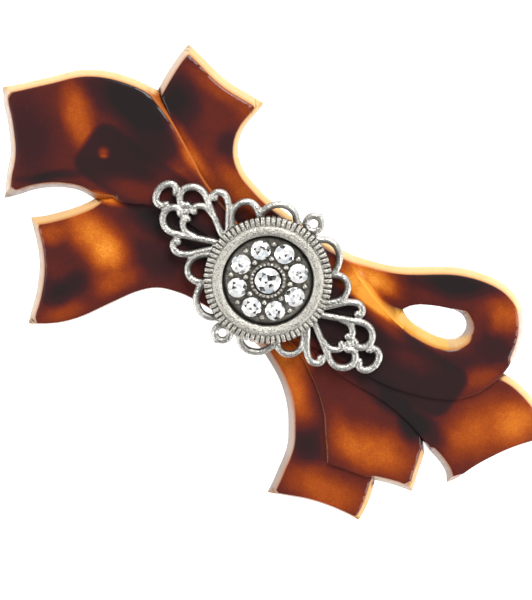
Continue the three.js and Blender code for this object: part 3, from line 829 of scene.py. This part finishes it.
# the scroll frame under the medallion, in mm
scrollFrame = {
    "bottom": 3.25,  # mm above the plate's underside
    "voxel": 0.12,
    "turn": -4.3,  # degrees
    "wire": 0.62,
    # one quarter: the points of each wire, its thickness at the start and end, its ball's radius
    "wires": [
        ([(-16.9, 0.95), (-17.4, 0.5), (-18.1, 0.55), (-18.7, 1.1), (-19.0, 2.0), (-18.8, 2.85),
            (-18.2, 3.6), (-17.25, 4.05), (-16.2, 4.0), (-15.1, 3.5), (-13.6, 2.7), (-12.0, 1.85),
            (-10.2, 0.9), (-8.5, 0.3)], 1.0, 0.9, 0.5),
        ([(-15.5, 0.75), (-15.95, 0.95), (-15.85, 1.6), (-15.3, 2.15), (-14.55, 2.45), (-13.75, 2.4),
            (-12.9, 2.1)], 1.0, 0.8, 0.56),
        ([(-14.4, 4.5), (-14.95, 4.8), (-14.7, 5.45), (-14.0, 5.85), (-13.4, 5.85), (-12.6, 5.45),
            (-11.8, 4.75), (-10.95, 3.65), (-9.8, 2.15), (-8.6, 1.0)], 1.0, 0.85, 0.56),
        ([(-8.6, 2.3), (-9.6, 2.9), (-10.6, 4.0), (-11.05, 5.3), (-10.7, 6.7), (-9.7, 7.5),
            (-8.5, 7.5), (-7.4, 6.9)], 0.9, 0.95, 0),
        ([(-7.0, 6.4), (-7.35, 7.3), (-7.15, 8.5), (-6.35, 9.9), (-4.8, 10.75), (-3.3, 10.6),
            (-2.3, 9.8)], 0.95, 0.95, 0),
    ],
    # the closed end of the frame, mirrored only from side to side
    "tip": [(-19.6, 1.05), (-19.8, 1.65), (-20.4, 1.95), (-21.1, 1.75), (-21.65, 1.1), (-21.9, 0),
        (-21.65, -1.1), (-21.1, -1.75), (-20.4, -1.95), (-19.8, -1.65), (-19.6, -1.05)],
    "tipKnot": (-16.5, 0.62),
    # small beads that tie the wires to each other
    "balls": [(-19.3, 1.75, 0.42), (-19.55, 1.05, 0.46), (-10.9, 4.9, 0.3), (1.95, 9.7, 0.62),
        (-7.35, 7.0, 0.5)],
    "eye": {"y": 11.2, "radius": 1.22, "height": 3.65, "section": (0.58, 0.5)},
    "pip": (12.75, 3.7, 0.46),  # across, up and radius
    # the plain ring under the medallion: radius and height
    "collar": [(4.2, 3.27), (9.5, 3.27), (9.6, 3.5), (9.5, 3.95), (4.2, 3.95)],
}


def tubeAlong(points, startShare, endShare):
    # a round wire whose thickness changes from end to end
    line = smoothSide(points, 0.3) + [Vector(points[-1])]
    data = bpy.data.curves.new("wire", "CURVE")
    data.dimensions = "3D"
    data.bevel_depth = scrollFrame["wire"]
    data.bevel_resolution = 2
    data.use_fill_caps = True
    spline = data.splines.new("POLY")
    spline.points.add(len(line) - 1)
    for i, (point, knot) in enumerate(zip(spline.points, line)):
        along = i / (len(line) - 1)
        point.co = (knot.x, knot.y, wireMiddle(knot.x), 1)
        point.radius = startShare + along * (endShare - startShare)
    wireObject = bpy.data.objects.new("wire", data)
    mesh = bpy.data.meshes.new_from_object(wireObject)
    bpy.data.objects.remove(wireObject)
    made = bmesh.new()
    made.from_mesh(mesh)
    bpy.data.meshes.remove(mesh)
    return made


def wireMiddle(x):
    return scrollFrame["bottom"] + scrollFrame["wire"] - archDrop(x)


def addBall(bm, x, y, z, radius, flat=1.0):
    shape = Matrix.Translation((x, y, z)) @ Matrix.Diagonal((1, 1, flat, 1))
    bmesh.ops.create_icosphere(bm, subdivisions=3, radius=radius, matrix=shape)


def remeshed(bm, voxel, smoothing):
    # many shapes that touch, melted into one skin
    mesh = asMesh(bm)
    lump = bpy.data.objects.new("lump", mesh)
    bpy.context.scene.collection.objects.link(lump)
    modifier = lump.modifiers.new("melt", "REMESH")
    modifier.mode = "VOXEL"
    modifier.voxel_size = voxel
    settled = lump.evaluated_get(bpy.context.evaluated_depsgraph_get())
    made = bmesh.new()
    made.from_mesh(settled.to_mesh())
    settled.to_mesh_clear()
    bpy.data.objects.remove(lump)
    everyWay = {"use_axis_x": True, "use_axis_y": True, "use_axis_z": True}
    for _ in range(smoothing):
        bmesh.ops.smooth_vert(made, verts=made.verts, factor=0.5, **everyWay)
    return made


def mirrors():
    return [Matrix.Diagonal((x, y, 1, 1)) for x in (1, -1) for y in (1, -1)]


def makeScrollFrame():
    quarter = bmesh.new()
    for points, startShare, endShare, ball in scrollFrame["wires"]:
        joinInto(quarter, tubeAlong(points, startShare, endShare))
        if ball:
            x, y = points[0]
            addBall(quarter, x, y, wireMiddle(x) + 0.08, ball)
    for x, y, radius in scrollFrame["balls"]:
        addBall(quarter, x, y, wireMiddle(x), radius, 0.85)
    whole = bmesh.new()
    joinInto(whole, quarter, mirrors())
    half = bmesh.new()
    joinInto(half, tubeAlong(scrollFrame["tip"], 1.0, 1.0))
    knotX, knotRadius = scrollFrame["tipKnot"]
    addBall(half, knotX, 0, wireMiddle(knotX), knotRadius, 0.8)
    joinInto(whole, half, [Matrix(), Matrix.Diagonal((-1, 1, 1, 1))])
    joinInto(whole, frameEye(), [Matrix(), Matrix.Diagonal((1, -1, 1, 1))])
    collar = bmesh.new()
    lathe(collar, scrollFrame["collar"], 72)
    joinInto(whole, collar)
    made = remeshed(whole, scrollFrame["voxel"], 2)
    turn = Matrix.Rotation(math.radians(scrollFrame["turn"]), 3, "Z")
    bmesh.ops.rotate(made, matrix=turn, verts=made.verts)
    addPiece(made, "scroll_frame", silver, "bow_and_base", "filigree_frame", 60)


def frameEye():
    # the small ring at the side of the frame, and the pip on it
    eye = scrollFrame["eye"]
    wide, high = eye["section"]
    angles = [math.tau * i / 8 for i in range(8)]
    section = [(eye["radius"] + wide * math.cos(a), eye["height"] + high * math.sin(a)) for a in angles]
    bm = bmesh.new()
    lathe(bm, section, 20)
    bmesh.ops.translate(bm, vec=(0, eye["y"], 0), verts=bm.verts)
    pipY, pipZ, pipRadius = scrollFrame["pip"]
    addBall(bm, 0, pipY, pipZ, pipRadius)
    return bm


makeScrollFrame()

# the medallion: its rim, its pan and its stones, in mm
medallion = {
    "flutes": 72,
    "fluteSize": (1.5, 0.64, 1.95),
    "fluteMiddle": (9.24, 5.16),
    # radius and height in mm round the sections of the rim and the pan
    "rim": [(7.1, 4.15), (9.55, 4.15), (9.6, 5.5), (8.75, 5.75), (8.68, 6.3), (8.5, 6.52), (8.2, 6.62),
        (7.85, 6.62), (7.5, 6.56), (7.2, 6.36), (7.1, 6.1)],
    "pan": [(0.02, 4.15), (6.98, 4.15), (6.98, 5.74), (6.7, 5.7), (3.1, 5.62), (2.95, 5.62), (2.82, 5.75),
        (2.65, 5.8), (2.4, 5.8), (2.3, 5.75), (2.15, 5.0), (0.02, 4.6)],
    "milgrain": {"count": 26, "reach": 2.56, "radius": 0.26, "height": 5.85},
    "beads": {"radius": 0.42, "reaches": (5.85, 3.5), "height": 5.8},
    "firstAngle": 3.5,
    "stones": 8,
    "reach": 4.9,
    "ringStone": 1.55,
    "centreStone": 2.05,
    "panTop": 5.69,
}


def turns(count, first=0.0):
    return [Matrix.Rotation(first + math.tau * i / count, 4, "Z") for i in range(count)]


def bevelledBlock(size, bevel, segments=2):
    bm = bmesh.new()
    bmesh.ops.create_cube(bm, size=1)
    bmesh.ops.scale(bm, vec=size, verts=bm.verts)
    sides = {"offset": bevel, "segments": segments, "profile": 0.5, "affect": "EDGES", "material": -1}
    bmesh.ops.bevel(bm, geom=bm.edges, **sides)
    return bm


def makeRim():
    whole = bmesh.new()
    lathe(whole, medallion["rim"], 144)
    flute = bevelledBlock(medallion["fluteSize"], 0.15)
    reach, height = medallion["fluteMiddle"]
    bmesh.ops.translate(flute, vec=(reach, 0, height), verts=flute.verts)
    joinInto(whole, flute, turns(medallion["flutes"]))
    material = makeMaterial("rimSilver", rimSilver)
    addPiece(whole, "fluted_rim", material, "bow_and_base", "milled_rim")


def makePan():
    whole = bmesh.new()
    lathe(whole, medallion["pan"], 96)
    grain = bmesh.new()
    milgrain = medallion["milgrain"]
    spot = Matrix.Translation((milgrain["reach"], 0, milgrain["height"]))
    bmesh.ops.create_icosphere(grain, subdivisions=2, radius=milgrain["radius"], matrix=spot)
    joinInto(whole, grain, turns(milgrain["count"]))
    beads = medallion["beads"]
    betweenStones = math.radians(medallion["firstAngle"]) + math.pi / medallion["stones"]
    for reach in beads["reaches"]:
        bead = bmesh.new()
        addBall(bead, reach, 0, beads["height"], beads["radius"])
        joinInto(whole, bead, turns(medallion["stones"], betweenStones))
    material = makeMaterial("panSilver", panSilver)
    addPiece(whole, "dark_pan", material, "bow_and_base", "stone_pan")


# rings of corners from the table down: how many, their radius and height as shares of the
# stone's radius, and their turn in half steps
stoneTiers = [(8, 0.55, 0.36, 0), (8, 0.80, 0.25, 1), (16, 1.0, 0.10, 0), (16, 1.0, 0.01, 0)]
stonePoint = -0.6
tableInset = 0.24
# painted reflections: what each facet shows, and how often
facetReflections = [
    ((0.95, 0.95, 0.94), 10),
    ((0.68, 0.68, 0.67), 3),
    ((0.24, 0.24, 0.25), 1),
    ((0.012, 0.012, 0.012), 3),
    ((0.56, 0.63, 0.70), 1),
]


def makeStone(name, node, radius, x, y, seed):
    bm = bmesh.new()
    for count, reach, height, halfSteps in stoneTiers:
        ring = bmesh.ops.create_circle(bm, segments=count, radius=reach * radius)["verts"]
        turn = Matrix.Rotation(halfSteps * math.pi / count, 4, "Z")
        bmesh.ops.transform(bm, matrix=Matrix.Translation((0, 0, height * radius)) @ turn, verts=ring)
    bm.verts.new((0, 0, stonePoint * radius))
    bmesh.ops.convex_hull(bm, input=bm.verts)
    bmesh.ops.dissolve_limit(bm, angle_limit=0.02, verts=bm.verts, edges=bm.edges)
    table = max(bm.faces, key=lambda f: f.calc_center_median().z)
    bmesh.ops.inset_region(bm, faces=[table], thickness=tableInset * radius, use_even_offset=True)
    bmesh.ops.poke(bm, faces=[table])
    shades = random.Random(seed)
    colours = [colour for colour, weight in facetReflections]
    weights = [weight for colour, weight in facetReflections]
    # each facet gets a painted reflection, drawn at random
    layer = bm.loops.layers.float_color.new("facet")
    for face in bm.faces:
        colour = shades.choices(colours, weights)[0]
        for loop in face.loops:
            loop[layer] = (*colour, 1)
    bmesh.ops.translate(bm, vec=(x, y, medallion["panTop"]), verts=bm.verts)
    addPiece(bm, name, stoneMaterial, "bow_and_base", node, 1)


stoneMaterial = makeMaterial("crystal", crystal)
makeRim()
makePan()
makeStone("centre_crystal", "centre_stone", medallion["centreStone"], 0, 0, 3)
for i in range(medallion["stones"]):
    angle = math.radians(medallion["firstAngle"]) + math.tau * i / medallion["stones"]
    x = medallion["reach"] * math.cos(angle)
    y = medallion["reach"] * math.sin(angle)
    makeStone(f"ring_crystal_{i + 1}", f"ring_stone_{i + 1}", medallion["ringStone"], x, y, 20 + i)

# the spring clip behind the plate, in mm
clip = {
    "hinge": (-32.0, -6.117),  # along and up
    "claspX": 32.0,
    "claspHole": 0.85,
    "edge": 0.1,  # how far the sheet's edges are rounded
    "cell": 1.5,  # mm between the cuts that let the sheet bend
    "ribMiddle": 1,  # where the pressed ribs have their middle
}


def straightSides(points):
    return [("dark", list(pair)) for pair in zip(points, points[1:] + points[:1])]


def roundedPlan(fromX, toX, halfWidth, corner):
    # a rectangle in plan with round corners, as the sides of an outline
    low = clipMiddle - halfWidth
    high = clipMiddle + halfWidth
    centres = [
        (toX - corner, high - corner),
        (fromX + corner, high - corner),
        (fromX + corner, low + corner),
        (toX - corner, low + corner),
    ]
    points = []
    for quarter, (cx, cy) in enumerate(centres):
        for step in range(5):
            angle = math.radians(90 * quarter + 22.5 * step)
            points.append((cx + corner * math.cos(angle), cy + corner * math.sin(angle)))
    return straightSides(points)


def roundHole(x, radius):
    angles = [math.tau * i / 16 for i in range(16)]
    return straightSides([(x + radius * math.cos(a), clipMiddle + radius * math.sin(a)) for a in angles])


def onMiddle(points):
    return [(x, clipMiddle + y) for x, y in points]


def mirroredPlan(half, end=()):
    # an outline given on one side of the clip's middle, its mirror image, and what closes its end
    mirrored = [(x, -y) for x, y in reversed(half)]
    return straightSides(onMiddle([*half, *mirrored, *end]))


def thicken(bm, faces, offset):
    bmesh.ops.translate(bm, vec=offset, verts=extruded(bm, faces))
    bmesh.ops.recalc_face_normals(bm, faces=bm.faces)


def stamped(sides, holes, thickness, underside):
    # sheet metal: an outline with holes, made thick and bent so its underside follows a curve
    bm = bmesh.new()
    edges = outlineLoop(bm, sides)[0]
    for hole in holes:
        edges += outlineLoop(bm, hole)[0]
    bmesh.ops.triangle_fill(bm, edges=edges, use_beauty=True, normal=(0, 0, 1))
    gridCut(bm, clip["cell"])
    thicken(bm, list(bm.faces), (0, 0, thickness))
    for vert in bm.verts:
        vert.co.z += underside(vert.co.x, vert.co.y - clipMiddle)
    return bm


def pressed(x, y, halfLength, halfWidth, depth):
    # how far a long pressed rib stands out at this place
    inside = min(1.0, max(0.0, (halfLength - abs(x - clip["ribMiddle"])) / 1.5))
    return depth * inside * (1 - between(halfWidth * 0.55, halfWidth, abs(y)))


def onEdge(profile, fromY, toY):
    # a flat shape in X and Z, made thick across the clip
    bm = bmesh.new()
    face = bm.faces.new([bm.verts.new((x, fromY, z)) for x, z in profile])
    thicken(bm, [face], (0, toY - fromY, 0))
    return bm


def alongHinge(profile):
    # a turned shape whose axis is the hinge; heights in the profile run across the clip
    bm = bmesh.new()
    lathe(bm, profile, 32)
    x, z = clip["hinge"]
    turn = Matrix.Translation((x, clipMiddle, z)) @ Matrix.Rotation(math.radians(-90), 4, "X")
    bmesh.ops.transform(bm, matrix=turn, verts=bm.verts)
    return bm


knuckleSize = {"bore": 0.66, "radius": 1.2, "chamfer": 0.1}


def knuckle(low, high):
    bore = knuckleSize["bore"]
    radius = knuckleSize["radius"]
    chamfer = knuckleSize["chamfer"]
    face = radius - chamfer
    return alongHinge([
        (bore, low),
        (face, low),
        (radius, low + chamfer),
        (radius, high - chamfer),
        (face, high),
        (bore, high),
    ])


def placeSteel(bm, name, body, node):
    piece = addPiece(bm, name, steel, body, node, 40)
    edges = piece.modifiers.new("edges", "BEVEL")
    edges.width = clip["edge"] * mm
    edges.segments = 2
    edges.limit_method = "ANGLE"
    edges.angle_limit = math.radians(50)


baseBar = {
    "plan": (-35.4, 36.0, 4.5, 2.2),  # its ends, half its width and its corners
    "thickness": 0.8,
    "under": -0.85,
    "rib": (23, 2.4, 0.22),
    "pegHole": 1.2,
    # an ear: where it starts, how far out it goes at the top, lower down and round the pin
    "earTop": -3.42,
    "earHalf": 2,
    "earWaist": (1.95, 0.6),
    "earRound": 1.75,
    "earAcross": (3.1, 3.7),
}


def makeBaseBar():
    def underside(x, y):
        return baseBar["under"] - archDrop(x) - pressed(x, y, *baseBar["rib"])

    holes = [roundHole(x, baseBar["pegHole"]) for x in pegs["along"]]
    holes.append(roundHole(clip["claspX"], clip["claspHole"]))
    bar = stamped(roundedPlan(*baseBar["plan"]), holes, baseBar["thickness"], underside)
    x, z = clip["hinge"]
    half = baseBar["earHalf"]
    waist, up = baseBar["earWaist"]
    radius = baseBar["earRound"]
    angles = [math.radians(180 + 15 * i) for i in range(13)]
    bottom = [(x + radius * math.cos(a), z + radius * math.sin(a)) for a in angles]
    top = [(x + half, baseBar["earTop"]), (x - half, baseBar["earTop"])]
    ear = [*top, (x - waist, z + up), *bottom, (x + waist, z + up)]
    inner, outer = baseBar["earAcross"]
    for side in (1, -1):
        joinInto(bar, onEdge(ear, clipMiddle + side * inner, clipMiddle + side * outer))
    placeSteel(bar, "pressed_base_bar", "bow_and_base", "base_bar")


hingePin = {
    "halfLength": 4.12,
    # a peened head from its end inwards: radius, and mm from the end
    "head": [(0.0, 0.0), (0.45, 0.0), (0.78, 0.12), (0.88, 0.35), (0.6, 0.37)],
}


def makeHingePin():
    end = hingePin["halfLength"]
    lower = [(radius, -end + inwards) for radius, inwards in hingePin["head"]]
    upper = [(radius, end - inwards) for radius, inwards in reversed(hingePin["head"])]
    placeSteel(alongHinge(lower + upper), "peened_pin", "bow_and_base", "hinge_pin")


swingArm = {
    "thickness": 0.6,
    "heel": 1.2,  # mm under the hinge
    "under": -9.2,
    "slope": 9,  # mm along from the hinge until it is level
    "endFrom": 26.4,  # the free end steps up over this stretch
    "endTo": 28.6,
    "endRise": 1.9,
    "rib": (17, 1.9, 0.22),
    "half": [(-31.6, 1.35), (-31.6, 2.8), (-26.6, 2.8), (-25.4, 3.5), (25.6, 3.5), (26.6, 4.5),
        (34.2, 4.5), (35.1, 4.1), (35.4, 3.2)],
    "throat": [(-26.4, -1.35), (-25.9, 0), (-26.4, 1.35)],
    "window": [(29.4, -3.35), (34.6, -3.35), (34.6, 3.35), (29.4, 3.35)],
    "knuckle": (1.3, 2.8),
}


def makeSwingArm():
    hingeX, hingeZ = clip["hinge"]
    heel = hingeZ - swingArm["heel"]

    def underside(x, y):
        share = min(1.0, max(0.0, (x - hingeX) / swingArm["slope"]))
        level = heel + (swingArm["under"] - heel) * share
        rise = swingArm["endRise"] * between(swingArm["endFrom"], swingArm["endTo"], x)
        return level + rise + pressed(x, y, *swingArm["rib"])

    plan = mirroredPlan(swingArm["half"], swingArm["throat"])
    window = straightSides(onMiddle(swingArm["window"]))
    arm = stamped(plan, [window], swingArm["thickness"], underside)
    for side in (1, -1):
        joinInto(arm, knuckle(*sorted(side * y for y in swingArm["knuckle"])))
    placeSteel(arm, "sprung_arm", "arm", "swing_arm")


tensionBow = {
    "thickness": 0.45,
    "line": [(-32, -6.867), (-24, -7.03), (-3.5, -6.9), (17, -7.1), (25, -7.7)],  # its top, along and up
    "half": [(-31.7, 1.1), (-26.2, 1.1), (-25.2, 2.2), (23.6, 2.2), (24.7, 1.8), (25, 0.9)],
    "knuckle": 1.1,
}


def makeTensionBow():
    line = tensionBow["line"]
    knots = smoothSide(line, 0.5) + [Vector(line[-1])]

    def underside(x, y):
        nearest = min(knots, key=lambda knot: abs(knot.x - x))
        return nearest.y - tensionBow["thickness"]

    bow = stamped(mirroredPlan(tensionBow["half"]), [], tensionBow["thickness"], underside)
    joinInto(bow, knuckle(-tensionBow["knuckle"], tensionBow["knuckle"]))
    placeSteel(bow, "tension_strip", "spring_bow", "tension_bow")


clasp = {
    "plan": (28.8, 35.2, 3.1, 0.7),  # its ends, half its width and its corners
    "thickness": 0.5,
    "under": -1.4,
    # the rivet's dome from its lowest point: radius, and mm up
    "dome": [(0.0, 0.0), (0.7, 0.05), (1.15, 0.18), (1.4, 0.4), (0.75, 0.42)],
}


def makeClasp():
    def underside(x, y):
        return clasp["under"] - archDrop(x)

    hole = roundHole(clip["claspX"], clip["claspHole"])
    web = stamped(roundedPlan(*clasp["plan"]), [hole], clasp["thickness"], underside)
    placeSteel(web, "clasp_plate", "bow_and_base", "clasp_web")
    low, high = [corner[2] / mm - home.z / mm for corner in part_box("clasp_rivet")]
    dome = [(radius, low + up) for radius, up in clasp["dome"]]
    rivet = bmesh.new()
    lathe(rivet, [*dome, (dome[-1][0], high), (0.0, high)], 32)
    bmesh.ops.translate(rivet, vec=(clip["claspX"], clipMiddle, 0), verts=rivet.verts)
    placeSteel(rivet, "domed_rivet", "bow_and_base", "clasp_rivet")


pressTab = {
    # across and up from the foot, then across and down from the wing's top
    "foot": [(2.6, 0.0), (2.95, 0.0), (3.25, 0.3), (3.25, 0.5), (3.1, 0.62)],
    "wing": [(3.1, 0.5), (5.35, 0.5), (5.7, 0.38), (5.7, 0.12), (5.35, 0.0), (3.1, 0.0)],
    "leg": (3.1, 2.6),  # its outer and inner face
    "wingUp": 2.45,
    "ridge": (0.28, 1.1, 0.24),
    "ridges": 5,
    "ridgeFrom": 0.9,
    "ridgeStep": 0.7,
    "ridgeAcross": 4.6,
}


def makeTab(side, name, body, node):
    low, high = [(Vector(corner) - home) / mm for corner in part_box(node)]
    wingTop = low.z + pressTab["wingUp"]
    profile = [(y, low.z + up) for y, up in pressTab["foot"]]
    profile += [(y, wingTop - down) for y, down in pressTab["wing"]]
    profile += [(y, high.z) for y in pressTab["leg"]]
    tab = bmesh.new()
    corners = [tab.verts.new((low.x, clipMiddle + side * y, z)) for y, z in profile]
    thicken(tab, [tab.faces.new(corners)], (high.x - low.x, 0, 0))
    across = clipMiddle + side * pressTab["ridgeAcross"]
    places = []
    for i in range(pressTab["ridges"]):
        along = low.x + pressTab["ridgeFrom"] + pressTab["ridgeStep"] * i
        places.append(Matrix.Translation((along, across, wingTop)))
    joinInto(tab, bevelledBlock(pressTab["ridge"], 0.08), places)
    placeSteel(tab, name, body, node)


makeBaseBar()
makeHingePin()
makeSwingArm()
makeTensionBow()
makeClasp()
makeTab(1, "left_press_tab", "left_tab", "press_tab_left")
makeTab(-1, "right_press_tab", "right_tab", "press_tab_right")

# camera, floor and light
shot = {
    "distance": 0.62,  # m
    "across": 83.125,  # mm that the view takes in at the clip
    "tilt": 10.0,  # degrees off straight down, towards the view's top
    "turn": 35.2,  # degrees that the clip runs down to the right
    "height": 3,  # mm over the plate's underside that the camera aims at
    "below": 3.5,  # mm from the medallion down to the middle of the view
    "leftward": 0.3,  # mm from the medallion to the middle of the view
}
studio = {
    "floorReach": 1.5,
    "floorDrop": 0.0002,
    "daylight": 0.22,
    # place, size and power
    "lamps": {
        "keySoftbox": ((-0.25, 0.75, 0.75), 0.6, 17),
        "fillSoftbox": ((0.95, 0.15, 0.38), 0.5, 9),
        "lowSoftbox": ((-0.55, -0.75, 0.55), 0.6, 9),
    },
}


def makeCamera():
    turn = math.radians(shot["turn"])
    tilt = math.radians(shot["tilt"])
    right = Vector((math.cos(turn), math.sin(turn), 0))
    flatUp = Vector((-math.sin(turn), math.cos(turn), 0))
    back = math.cos(tilt) * Vector((0, 0, 1)) + math.sin(tilt) * flatUp
    up = back.cross(right)
    aim = home + Vector((0, 0, shot["height"] * mm))
    aim = aim - shot["below"] * mm * up - shot["leftward"] * mm * right
    camera = bpy.data.objects.new("camera", bpy.data.cameras.new("camera"))
    axes = Matrix((right, up, back)).transposed().to_4x4()
    camera.matrix_world = Matrix.Translation(aim + back * shot["distance"]) @ axes
    camera.data.sensor_fit = "HORIZONTAL"
    camera.data.lens = shot["distance"] / (shot["across"] * mm) * camera.data.sensor_width
    camera.data.clip_start = 0.01
    bpy.context.scene.collection.objects.link(camera)
    bpy.context.scene.camera = camera
    print("camera", round(camera.data.lens), "mm lens")


def paleFloor(wire):
    speck = noise(wire, onObject(wire), 0.4, detail=4.0)
    pale = speck.ramp([(0.3, (0.86, 0.86, 0.86)), (0.7, (0.89, 0.89, 0.89))])
    return {"Base Color": pale, "Roughness": 0.7, "Emission Color": pale, "Emission Strength": 0.75}


def makeFloor():
    bm = bmesh.new()
    bmesh.ops.create_grid(bm, x_segments=4, y_segments=4, size=studio["floorReach"])
    mesh = asMesh(bm)
    mesh.materials.append(makeMaterial("paleFloor", paleFloor))
    floor = bpy.data.objects.new("floor", mesh)
    bpy.context.scene.collection.objects.link(floor)
    floor.location.z = -studio["floorDrop"]


def makeLight(name, spot, size, power):
    data = bpy.data.lights.new(name, "AREA")
    data.size = size
    data.energy = power
    lamp = bpy.data.objects.new(name, data)
    lamp.location = spot
    lamp.rotation_euler = (home - Vector(spot)).to_track_quat("-Z", "Y").to_euler()
    bpy.context.scene.collection.objects.link(lamp)


def makeStudio():
    makeFloor()
    for name, (spot, size, power) in studio["lamps"].items():
        makeLight(name, spot, size, power)
    world = bpy.data.worlds.new("studio")
    world.use_nodes = True
    background = world.node_tree.nodes["Background"].inputs
    background["Color"].default_value = (1, 1, 1, 1)
    background["Strength"].default_value = studio["daylight"]
    bpy.context.scene.world = world
    print("studio", len(studio["lamps"]), "lamps")


makeCamera()
makeStudio()
bpy.context.scene.view_settings.view_transform = "Standard"
